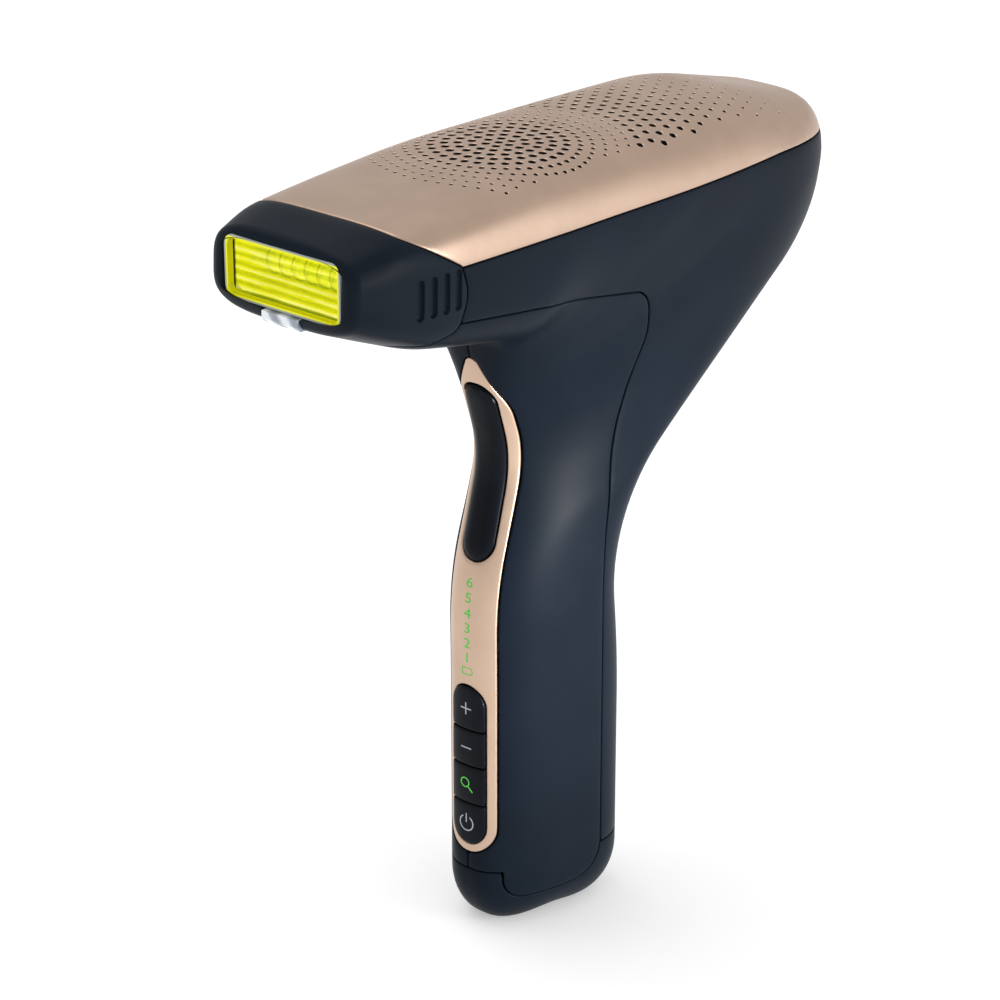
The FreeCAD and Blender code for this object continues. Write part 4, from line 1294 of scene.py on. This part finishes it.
@dataclass
class LightAttachment:
    """The cap round the light window: body with grip grooves, rounded face edge, mouth and sensor opening."""

    wall: float = 1.6
    reach: float = 62.0             # of u
    face_round: float = 2.0
    mouth_half_width: float = 16.8
    mouth_half_height: float = 7.25
    mouth_round: float = 3.0
    mouth_lip: float = 0.35
    level: float = middle("filter_glass", 2)
    groove_places: tuple[float, ...] = (-62.4, -58.9, -55.4, -52.0)
    groove_low: float = 168.2
    groove_high: float = 175.4
    groove_half: float = 0.75
    groove_lip: float = 0.22
    groove_depth: float = 1.0
    groove_side: float = 18.0       # grooves lie only further out than this
    sensor_half: float = edge("sensor_window", 0, True) + SEAM / 2
    sensor_top: float = edge("sensor_window", 2, True) + SEAM / 2
    sensor_low: float = edge("sensor_window", 2, False) - SEAM / 2
    sensor_deep: float = 4.0

    def __post_init__(self) -> None:
        """Works out the face plane."""
        self.base, high = np.array([FRONT - 1, TOP - 22.7]), np.array([FRONT, TOP - 4.9])
        self.up = (high - self.base) / np.linalg.norm(high - self.base)
        self.into = np.array([self.up[1], -self.up[0]])
        self.face_in = np.array([0.0, *self.into])

    def behind(self, points: Array) -> Array:
        """How far points lie behind the face plane."""
        return (points[:, 1:] - self.base) @ self.into

    def _inside(self, points: Array) -> Array:
        """Distance inside the attachment's region, which leaves out the sensor's opening.

        Args:
            points: n by 3, in millimetres.

        Returns:
            n distances, above zero inside.
        """
        sensor = np.max([np.abs(points[:, 0]) - self.sensor_half, points[:, 2] - self.sensor_top,
                         self.sensor_low - points[:, 2], self.behind(points) - self.sensor_deep], axis=0)
        return np.minimum(-ATTACHMENT_SIDE.away(points), sensor)

    def _groove(self, points: Array) -> Array:
        """Distance from the nearest groove's middle line.

        Args:
            points: n by 3, in millimetres.

        Returns:
            n distances, 9 at most.
        """
        up = points[:, 2] - np.clip(points[:, 2], self.groove_low, self.groove_high)
        away = np.min([np.hypot(points[:, 1] - place, up) for place in self.groove_places], axis=0)
        return np.where(np.abs(points[:, 0]) > self.groove_side, np.minimum(away, 9.0), 9.0)

    def body(self) -> Sheet:
        """The skin part, rounded towards the face.

        Returns:
            The right half, open towards the face.
        """
        soft = self.groove_half + self.groove_lip

        def groove_depth(away: Array) -> Array:
            """A round-bottomed groove with a soft lip."""
            return self.groove_depth * (1 - np.clip(away / soft, 0, 1) ** 3)

        sheet = Patch(self._inside, (0.0, self.reach), ALL_V, relief=self._groove, relief_depth=groove_depth,
                      relief_levels=(0.3, 0.55, self.groove_half, soft), spacing=(1.0, 1.0),
                      seam_step=0.45).sheet()
        short = np.clip(1 - np.maximum(self.behind(sheet.points), 0.0) / self.face_round, 0, 1)
        slant = np.sqrt(np.maximum(1 - short ** 2, 0))
        level = unit(sheet.inward - self.face_in * (sheet.inward @ self.face_in)[:, None])
        return Sheet(sheet.points + level * (self.face_round * (1 - slant))[:, None],
                     sheet.inward * slant[:, None] + self.face_in * short[:, None], sheet.faces)

    def face(self, rim: Array) -> Sheet:
        """The right half of the flat face, between the rounding's last ring and the mouth.

        Args:
            rim: ordered points of the right half's face ring, n by 3.

        Returns:
            The right half of the face.
        """
        ring = np.stack([rim[:, 0], (rim[:, 1:] - self.base) @ self.up], 1)
        lift = (self.level - self.base[1]) / self.up[1]
        gate = (self.sensor_top - self.base[1]) / self.up[1]
        tall, wide = self.mouth_half_height, self.mouth_half_width
        loops = []
        for grown in (0.0, 0.12, self.mouth_lip):
            mouth = round_box((-wide - grown, lift - tall - grown), (wide + grown, lift + tall + grown),
                              self.mouth_round + grown)
            ahead = np.roll(mouth, -1, axis=0) - mouth
            steps = np.maximum(np.linalg.norm(ahead, axis=1).astype(int), 1)
            loops.append(np.concatenate([start + side * np.linspace(0, 1, count, endpoint=False)[:, None]
                                         for start, side, count in zip(mouth, ahead, steps)]))
        sensor = np.array([(-0.5, -3.0), (self.sensor_half, -3.0), (self.sensor_half, gate), (-0.5, gate)])
        grid = pairs_of(np.arange(0.9, 24, 1.2), np.arange(0.4, 20, 1.2), "xy")
        apart = np.minimum(np.abs(grid[:, 0] - self.sensor_half), np.abs(grid[:, 1] - gate))
        grid = grid[(apart > 0.3) | (grid[:, 1] > gate + 0.4)]
        flat, faces = half_plate(ring, loops, [sensor, np.array([(0.0, -5.0), (0.0, 30.0)])], grid, 0.4)
        centre = flat[faces].mean(1)
        faces = faces[(centre[:, 0] >= self.sensor_half) | (centre[:, 1] >= gate)]
        away = np.maximum(outline_distance(flat, loops[0]), 0)
        depth = Rounding(self.mouth_lip, self.mouth_lip).depth(away)[:, None]
        space = np.concatenate([flat[:, :1], self.base + flat[:, 1:] * self.up + self.into * depth], 1)
        return Sheet(space, np.tile(self.face_in, (len(space), 1)), faced(space, faces, -self.face_in))

    def build(self) -> None:
        """The whole attachment as one closed piece."""
        body = self.body()
        rim = body.points[np.unique(body.faces)]
        rim = rim[np.abs(self.behind(rim)) < 0.02]
        rim = rim[np.argsort(np.arctan2(rim[:, 2] - self.level, rim[:, 0] + 1e-6))]
        sheet = body.joined(self.face(rim)).mirrored()
        fit(build_object("attachment_body", *sheet.walled(self.wall)), Look.ATTACHMENT_NAVY, "attachment",
            "attachment_shell")


@dataclass
class Casing:
    """Top cover, rear housing, two grip panels and the bottom cap."""

    wall: float = 1.8
    cover_wall: float = 1.4
    cap_wall: float = 1.2
    rosette_place: float = -11.0
    socket_gap: float = 0.2
    socket_round: float = 1.2

    def vents(self) -> Array:
        """Places and radii of the cover's holes.

        Rings round the rosette's middle, three millimetres apart; the holes shrink towards the rosette's
        edge, grow again behind it and fade out towards the rear.

        Returns:
            Rows of x, y and radius.
        """
        rows = [(0.0, self.rosette_place, 0.95)]
        radius = 0.0
        number = 0
        while radius < 80:
            number += 1
            inner = radius < 17
            radius += 2.95 if inner else (2.7 if radius < 30 else 3.15)
            size = float(np.interp(radius, [0, 6, 14, 18, 22, 28, 31, 38, 48, 60, 80],
                                   [0.95, 1.0, 0.95, 0.62, 0.45, 0.34, 0.78, 0.86, 0.7, 0.46, 0.22]))
            pitch = float(np.interp(radius, [0, 16, 18, 26, 32, 60, 80],
                                    [3.05, 3.0, 2.5, 2.6, 3.4, 3.6, 3.8]))
            count = max(6, int(round(2 * math.pi * radius / pitch)))
            angles = (np.arange(count) + 0.5 * (number % 2)) * 2 * math.pi / count
            x, y = radius * np.sin(angles), self.rosette_place + radius * np.cos(angles)
            keep = np.abs(x) < 21.5 - 0.02 * np.maximum(y, 0)
            if radius > 29:
                keep &= (y > self.rosette_place + 8) & (np.abs(angles - math.pi) > 1.6)
            elif radius > 19:
                keep &= np.abs(x) < 20.5
            keep &= (y < 66) & (y > FRONT + 20)
            rows += [(float(a), float(b), size) for a, b in zip(x[keep], y[keep])]
        return np.array(rows)

    def cover(self) -> bpy.types.Object:
        """The perforated top cover.

        Returns:
            The cover.
        """
        def inside(points: Array) -> Array:
            """Inside the cover's seam and behind the attachment's."""
            return np.minimum(-COVER_SIDE.away(points), ATTACHMENT_SIDE.away(points) - SEAM)

        sheet = Patch(inside, (0.0, 0.62 * SKIN.LENGTH), (0.42 * SKIN.GIRTH, 1.58 * SKIN.GIRTH),
                      holes=self.vents(), spacing=(1.3, 1.1)).sheet()
        # its back and the holes' walls take inner black: painted shade in the holes
        return build_object("top_cover_shell", *sheet.walled(self.cover_wall), front=len(sheet.faces))

    def rear(self) -> bpy.types.Object:
        """The housing behind the seams, both sides in one.

        Returns:
            The housing.
        """
        def inside(points: Array) -> Array:
            """Outside every other piece's room."""
            return np.min([ATTACHMENT_SIDE.away(points) - SEAM, COVER_SIDE.away(points) - SEAM,
                           GRIP_SIDE.away(points) - SEAM, points[:, 2] - CAP_TOP - SEAM], axis=0)

        sheet = Patch(inside, ALL_U, ALL_V, spacing=(1.7, 1.3)).sheet()
        return build_object("rear_housing_shell", *sheet.mirrored().walled(self.wall))

    def grip(self, side: str) -> bpy.types.Object:
        """The right or the left grip panel.

        Args:
            side: right or left.

        Returns:
            The panel.
        """
        def inside(points: Array) -> Array:
            """Inside the panel's seam, outside the attachment, the cover and the strip.

            Args:
                points: n by 3, in millimetres.

            Returns:
                n distances, above zero inside.
            """
            return np.min([-GRIP_SIDE.away(points), ATTACHMENT_SIDE.away(points) - SEAM,
                           COVER_SIDE.away(points) - SEAM, off_strip(points),
                           points[:, 0] - SEAM / 2], axis=0)

        sheet = Patch(inside, ALL_U, ALL_V, spacing=(1.7, 1.2)).sheet()
        sheet = sheet.flipped() if side == "left" else sheet
        return build_object(side + "_grip_panel", *sheet.walled(self.wall))

    def cap(self) -> bpy.types.Object:
        """The bottom cap with its flat rest face and the socket's opening.

        Returns:
            The cap.
        """
        def inside(points: Array) -> Array:
            """Under the cap's seam, outside the panels' tabs and the strip."""
            return np.min([CAP_TOP - points[:, 2], GRIP_SIDE.away(points) - SEAM, off_strip(points)], axis=0)

        body = Patch(inside, (0.9 * SKIN.LENGTH, ALL_U[1]), ALL_V, spacing=(1.0, 1.0)).sheet()
        up = np.array([0.0, 0.0, 1.0])
        body.inward[body.points[:, 2] < 0.02] += up
        body.inward = unit(body.inward)
        rim = body.points[np.unique(body.faces)]
        rim = rim[rim[:, 2] < 0.02]
        rim = rim[np.argsort(np.arctan2(rim[:, 1] - (GRIP_FRONT + GRIP_REAR) / 2, rim[:, 0] + 1e-9))]
        front, back = edge("charging_socket", 1, False), edge("charging_socket", 1, True)
        half_wide = edge("charging_socket", 0, True) + self.socket_gap
        half_deep, place = (back - front) / 2 + self.socket_gap, (back + front) / 2
        hole = round_box((-half_wide, place - half_deep), (half_wide, place + half_deep), self.socket_round)
        grid = pairs_of(np.arange(0.8, 20, 1.2), np.arange(-25, 25, 1.2), "xy")
        flat, faces = half_plate(rim[:, :2], [hole], [np.array([[0.0, -40.0], [0.0, 40.0]])], grid, 0.5)
        space = np.concatenate([flat, np.zeros((len(flat), 1))], 1)
        base = Sheet(space, np.tile(up, (len(space), 1)), faced(space, faces, -up))
        return build_object("bottom_cap_shell", *body.joined(base).mirrored().walled(self.cap_wall))

    def build(self) -> None:
        """Builds every piece of the casing."""
        fit(self.cover(), Look.COVER_GOLD, "housing", "top_cover")
        fit(self.rear(), Look.CASING_NAVY, "housing", "rear_housing")
        for side in ("right", "left"):
            fit(self.grip(side), Look.CASING_NAVY, "housing", side + "_grip_shell")
        fit(self.cap(), Look.CASING_NAVY, "housing", "bottom_cap")


@dataclass
class Controls:
    """Front strip, trigger, four keys and the marks on them."""

    strip_edge: Rounding = Rounding(0.4, 0.35)
    strip_wall: float = 1.4
    trigger_edge: Rounding = Rounding(2.6, 0.9)
    trigger_wall: float = 1.6
    key_edge: Rounding = Rounding(0.45, 0.4)
    key_wall: float = 2.6
    key_lift: float = 0.45
    print_lift: float = 0.03
    print_root: float = 0.08
    digit_size: float = 3.45
    digit_spread: tuple[float, float] = (1.25, 1.0)
    digits_top: float = 88.2
    digits_step: float = 3.69
    battery_level: float = 66.4
    straight: float = 0.5       # how far past the slots their walls stay straight
    blend: float = 1.2

    def _piece(self, name: str, inside: Callable[[Array], Array], low: float, high: float,
               edge_shape: Rounding, proud: float, wall: float) -> bpy.types.Object:
        """A piece on the handle's front between two heights; its slots' walls run straight along Y.

        Args:
            name: the piece's name.
            inside: distance inside its outline.
            low: its foot, in Z.
            high: its top, in Z.
            edge_shape: its rounded edge.
            proud: how far it stands off the skin.
            wall: its thickness.

        Returns:
            The piece.
        """
        sheet = Patch(inside, (u_at_height(high + 3.5), u_at_height(low - 2.5)), (-14.0, 14.0),
                      edge=edge_shape, proud=proud, spacing=(1.0, 0.8), seam_step=0.4).sheet()
        outer = np.clip((np.abs(sheet.points[:, 0]) - HALF_KEY - self.straight) / self.blend, 0, 1)[:, None]
        sheet.inward = unit(sheet.inward * outer + np.array([0.0, 1.0, 0.0]) * (1 - outer))
        return build_object(name, *sheet.walled(wall))

    def strip(self) -> bpy.types.Object:
        """The strip with its two openings.

        Returns:
            The strip.
        """
        def inside(points: Array) -> Array:
            """Inside the strip, outside the trigger's slot and the key pad."""
            return np.min([-STRIP_FRONT.away(points), TRIGGER_SLOT.away(points) - KEY_GAP,
                           PAD_FRONT.away(points) - KEY_GAP], axis=0)
        return self._piece("front_strip_band", inside, STRIP_FOOT, STRIP_TIP, self.strip_edge, 0.0,
                           self.strip_wall)

    def trigger(self) -> bpy.types.Object:
        """The long rounded trigger."""
        return self._piece("trigger_pad", lambda points: -TRIGGER_FRONT.away(points), TRIGGER_FOOT,
                           TRIGGER_TIP, self.trigger_edge, self.key_lift, self.trigger_wall)

    def key(self, node: str) -> bpy.types.Object:
        """One key of the pad.

        Args:
            node: the key's CAD node.

        Returns:
            The key.
        """
        low, high = edge(node, 2, False), edge(node, 2, True)

        def inside(points: Array) -> Array:
            """Inside the pad and between the key's ends."""
            return np.min([-PAD_FRONT.away(points), points[:, 2] - low, high - points[:, 2]], axis=0)
        return self._piece(node + "_cap", inside, low, high, self.key_edge, self.key_lift, self.key_wall)

    def on_front(self, flat: Array, lift: float) -> Array:
        """Points (x, z) on the handle's front, lifted off the skin.

        Args:
            flat: x and z, n by 2.
            lift: in millimetres.

        Returns:
            n by 3 points.
        """
        span = np.linspace(0.5 * SKIN.LENGTH, ALL_U[1], 1500)
        levels = SKIN.place(span, np.zeros(1500))[:, 2]
        u, v = SKIN.find(flat, (0, 2), np.interp(-flat[:, 1], -levels, span), flat[:, 0])
        return SKIN.place(u, v) + SKIN.normal(u, v) * lift

    def mark(self, name: str, flat: Array, faces: list, lift: float, body: str, look: Look) -> None:
        """A thin closed print over flat faces in (x, z), lifted off the skin and riding on a body.

        Args:
            name: the print's name.
            flat: x and z, n by 2.
            faces: rows of point numbers.
            lift: in millimetres.
            body: the body it rides on.
            look: its finish.
        """
        top, base = self.on_front(flat, lift + self.print_lift), self.on_front(flat, lift - self.print_root)
        count = len(flat)
        rims: dict[tuple[int, int], None] = {}
        for a, b in (side for face in faces for side in zip(face, face[1:] + face[:1])):
            if (b, a) in rims:
                del rims[(b, a)]
            else:
                rims[(a, b)] = None
        backs = [[count + index for index in reversed(face)] for face in faces]
        solid = [list(face) for face in faces] + backs + [[b, a, a + count, b + count] for a, b in rims]
        mesh = bpy.data.meshes.new(name)
        mesh.from_pydata((np.concatenate([top, base]) * MM).tolist(), [], solid)
        mesh.validate()
        work = bmesh.new()
        work.from_mesh(mesh)
        bmesh.ops.recalc_face_normals(work, faces=work.faces)
        work.to_mesh(mesh)
        work.free()
        fit(linked(name, mesh), look, body)

    @staticmethod
    def ribbon(path: Array, half: float, closed: bool = False) -> tuple[Array, list]:
        """A band of even width along a flat path: each point moved both ways along its own normal.

        Args:
            path: n by 2.
            half: half of its width.
            closed: whether the last point joins the first.

        Returns:
            Flat points and quads.
        """
        ahead, back = np.roll(path, -1, axis=0), np.roll(path, 1, axis=0)
        if not closed:
            ahead[-1], back[0] = path[-1], path[0]
        run = unit(ahead - back)
        off = np.stack([-run[:, 1], run[:, 0]], 1) * half
        count = len(path)
        faces = [[i, (i + 1) % count, (i + 1) % count + count, i + count]
                 for i in range(count if closed else count - 1)]
        return np.concatenate([path + off, path - off]), faces

    def icons(self) -> None:
        """Plus, minus, a magnifier, a power sign and a battery sign."""
        def line(start: tuple[float, float], end: tuple[float, float], count: int) -> Array:
            """Points from start to end."""
            return np.stack([np.linspace(*ends, count) for ends in zip(start, end)], 1)

        def round_line(angle: Array, radius: float, place: tuple[float, float] = (0.0, 0.0)) -> Array:
            """Points at angles round a place."""
            return np.stack([np.cos(angle), np.sin(angle)], 1) * radius + place

        circle = np.linspace(0, 2 * math.pi, 32, endpoint=False)
        power = np.linspace(math.radians(60), math.radians(-240), 33)
        green, grey = Look.PRINT_GREEN, Look.PRINT_GREY
        for name, node, path, half, closed, extra, look in (
                ("plus_across", "plus_key", line((-1.5, 0.0), (1.5, 0.0), 9), 0.16, False, 0.0, grey),
                ("plus_upright", "plus_key", line((0.0, -1.5), (0.0, 1.5), 9), 0.16, False, 0.01, grey),
                ("minus_across", "minus_key", line((-1.5, 0.0), (1.5, 0.0), 9), 0.16, False, 0.0, grey),
                ("power_ring", "power_key", round_line(power, 1.9), 0.15, False, 0.0, grey),
                ("power_stem", "power_key", line((0.0, 0.2), (0.0, 2.5), 7), 0.15, False, 0.0, grey),
                ("lens_ring", "skin_test_key", round_line(circle, 1.15, (-0.35, 0.4)), 0.15, True, 0.0,
                 green),
                ("lens_handle", "skin_test_key", line((0.5, -0.45), (1.8, -1.75), 6), 0.17, False, 0.0,
                 green)):
            flat, faces = self.ribbon(path + [0.0, middle(node, 2)], half, closed)
            self.mark("mark_" + name, flat, faces, self.key_lift + extra, node, look)
        outline = rounded([(-1.5, -0.8, 0.25), (1.2, -0.8, 0.25), (1.6, 0.0, 0.3), (1.2, 0.8, 0.25),
                           (-1.5, 0.8, 0.25)], closed=True) + [0.0, self.battery_level]
        self.mark("mark_battery", *self.ribbon(outline, 0.13, closed=True), 0.0, "housing", green)

    def digits(self) -> None:
        """The level numbers beside the light guide."""
        for step, figure in enumerate("654321"):
            curve = bpy.data.curves.new("figure_" + figure, "FONT")
            curve.body = figure
            curve.size = self.digit_size
            curve.resolution_u = 3
            text = linked("figure_" + figure, curve)
            bpy.context.view_layer.update()
            final = text.evaluated_get(bpy.context.evaluated_depsgraph_get())
            source = bpy.data.meshes.new_from_object(final)
            flat = np.array([vertex.co[:2] for vertex in source.vertices], float).reshape(-1, 2)
            faces = [list(face.vertices) for face in source.polygons]
            bpy.data.objects.remove(text)
            flat = flat - (flat.min(0) + flat.max(0)) / 2
            flat = flat * self.digit_spread + [0.0, self.digits_top - step * self.digits_step]
            self.mark("figure_" + figure + "_print", flat, faces, 0.0, "housing", Look.PRINT_GREEN)

    def build(self) -> None:
        """Builds the strip, the trigger, the keys and their marks."""
        fit(self.strip(), Look.STRIP_GOLD, "housing", "front_strip")
        fit(self.trigger(), Look.KEY_BLACK, "trigger", "trigger")
        for node in KEY_NODES:
            fit(self.key(node), Look.KEY_BLACK, node, node)
        self.icons()
        self.digits()


@dataclass
class LightWindow:
    """The trough behind the filter glass."""

    half_width: float = 15.55
    half_height: float = 6.0
    end_run: float = 5.0
    wall: float = 0.4
    section_power: int = 5
    glass_gap: float = 0.05
    lamp_gap: float = 1.2
    columns: int = 60
    rows: int = 64

    def build(self) -> None:
        """A trough along X: flat-bottomed in section, and closed at its back and ends."""
        front = edge("filter_glass", 1, True) + self.glass_gap
        back = edge("flash_lamp", 1, True) + self.lamp_gap
        share = np.linspace(-1, 1, self.rows)
        depth = front + (back - front) * (1 - np.abs(share) ** self.section_power)
        up = middle("filter_glass", 2) + self.half_height * share
        across = np.sin(np.linspace(-1, 1, self.columns) * math.pi / 2) * self.half_width
        close = np.clip(1 - (self.half_width - np.abs(across)) / self.end_run, 0, 1) ** 2
        x, y = pairs_of(across, depth).T
        y = y + (front - y) * np.repeat(close, self.rows)
        inner = np.stack([x, y, np.tile(up, self.columns)], -1)
        cells = quads(self.columns, self.rows)
        sheet = Sheet(inner, np.tile(np.array([0.0, 1.0, 0.0]), (len(inner), 1)),
                      np.concatenate([cells[:, [0, 1, 2]], cells[:, [0, 2, 3]]]))
        fit(build_object("reflector_trough", *sheet.walled(self.wall)), Look.REFLECTOR_MIRROR, "housing",
            "reflector")


# ------------------------------------------------------------------ the CAD's own pieces, and the studio
def dress_frame() -> None:
    """Gives every CAD node the finish of its slot; plated steel takes the finish of steel."""
    for name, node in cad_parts.items():
        for place in node.material_slots:
            look = next((look for look in Look if place.material and look.slot in place.material.name), None)
            place.material = (look or Look.INNER_BLACK).material()
            if look is None:
                log.info("no finish for %s", name)


@dataclass
class Studio:
    """Camera, floor, sky and lights."""

    eye: tuple[float, float, float] = (0.44909, -0.52717, 0.39558)
    look: tuple[float, float, float] = (-0.603906, 0.694714, -0.390731)
    lens: float = 118.8
    sky: float = 0.7
    floor_half: float = 6.0
    floor_count: int = 25

    @staticmethod
    def _stand(name: str, data: bpy.types.ID, place: Sequence[float],
               look: Sequence[float]) -> bpy.types.Object:
        """A camera or light at a place, level, looking along a direction.

        Args:
            name: its name.
            data: the camera or light.
            place: in metres.
            look: the direction.

        Returns:
            The object.
        """
        thing = linked(name, data)
        thing.location = place
        thing.rotation_euler = Vector(look).to_track_quat("-Z", "Y").to_euler()
        return thing

    def camera(self) -> None:
        """The camera at its place, with no shift."""
        data = bpy.data.cameras.new("camera")
        data.lens = self.lens
        data.sensor_width = 36.0
        data.clip_end = 50.0
        bpy.context.scene.camera = self._stand("camera", data, self.eye, self.look)

    def light(self, name: str, kind: str, place: tuple[float, float, float], aim: tuple[float, float, float],
              power: float, **settings: object) -> None:
        """A light that looks at a point.

        Args:
            name: the light's name.
            kind: AREA or SPOT.
            place: where it stands, in metres.
            aim: the point it looks at.
            power: watts.
            settings: the light's other properties.
        """
        data = bpy.data.lights.new(name, kind)
        data.energy = power
        for key, value in settings.items():
            setattr(data, key, value)
        self._stand(name, data, place, Vector(aim) - Vector(place))

    def floor(self) -> None:
        """A wide pale floor under the rest face."""
        line = np.linspace(-self.floor_half, self.floor_half, self.floor_count)
        points = np.concatenate([pairs_of(line, line), np.zeros((len(line) ** 2, 1))], 1) / MM
        thing = build_object("floor", points, quads(len(line), len(line)))
        Look.FLOOR_PALE.dress(thing)

    def build(self) -> None:
        """Everything round the part."""
        bpy.context.scene.view_settings.view_transform = "Standard"
        self.camera()
        self.floor()
        world = bpy.data.worlds.new("sky")
        world.use_nodes = True
        background = world.node_tree.nodes["Background"]
        background.inputs[0].default_value = (1, 1, 1, 1)
        background.inputs[1].default_value = self.sky
        bpy.context.scene.world = world
        heart = (0.0, 0.0, 0.12)
        self.light("side_light", "AREA", (1.45, 0.5, 0.4), heart, 9.0, shape="RECTANGLE", size=0.45,
                   size_y=0.9)
        self.light("top_light", "AREA", (-0.5, -0.1, 1.7), heart, 9.0, shape="RECTANGLE", size=1.3,
                   size_y=1.3)
        self.light("handle_light", "SPOT", (0.9, 0.12, 0.05), (0.012, 0.0, 0.075), 130.0,
                   spot_size=math.radians(10.5), spot_blend=1.0, shadow_soft_size=0.08)


def main() -> None:
    """Builds the part in order."""
    logging.basicConfig(level=logging.INFO, format="%(name)s: %(message)s")
    Studio().build()
    dress_frame()
    for group in (LightAttachment(), Casing(), Controls(), LightWindow()):
        group.build()
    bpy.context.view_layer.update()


if __name__ == "__main__":
    main()
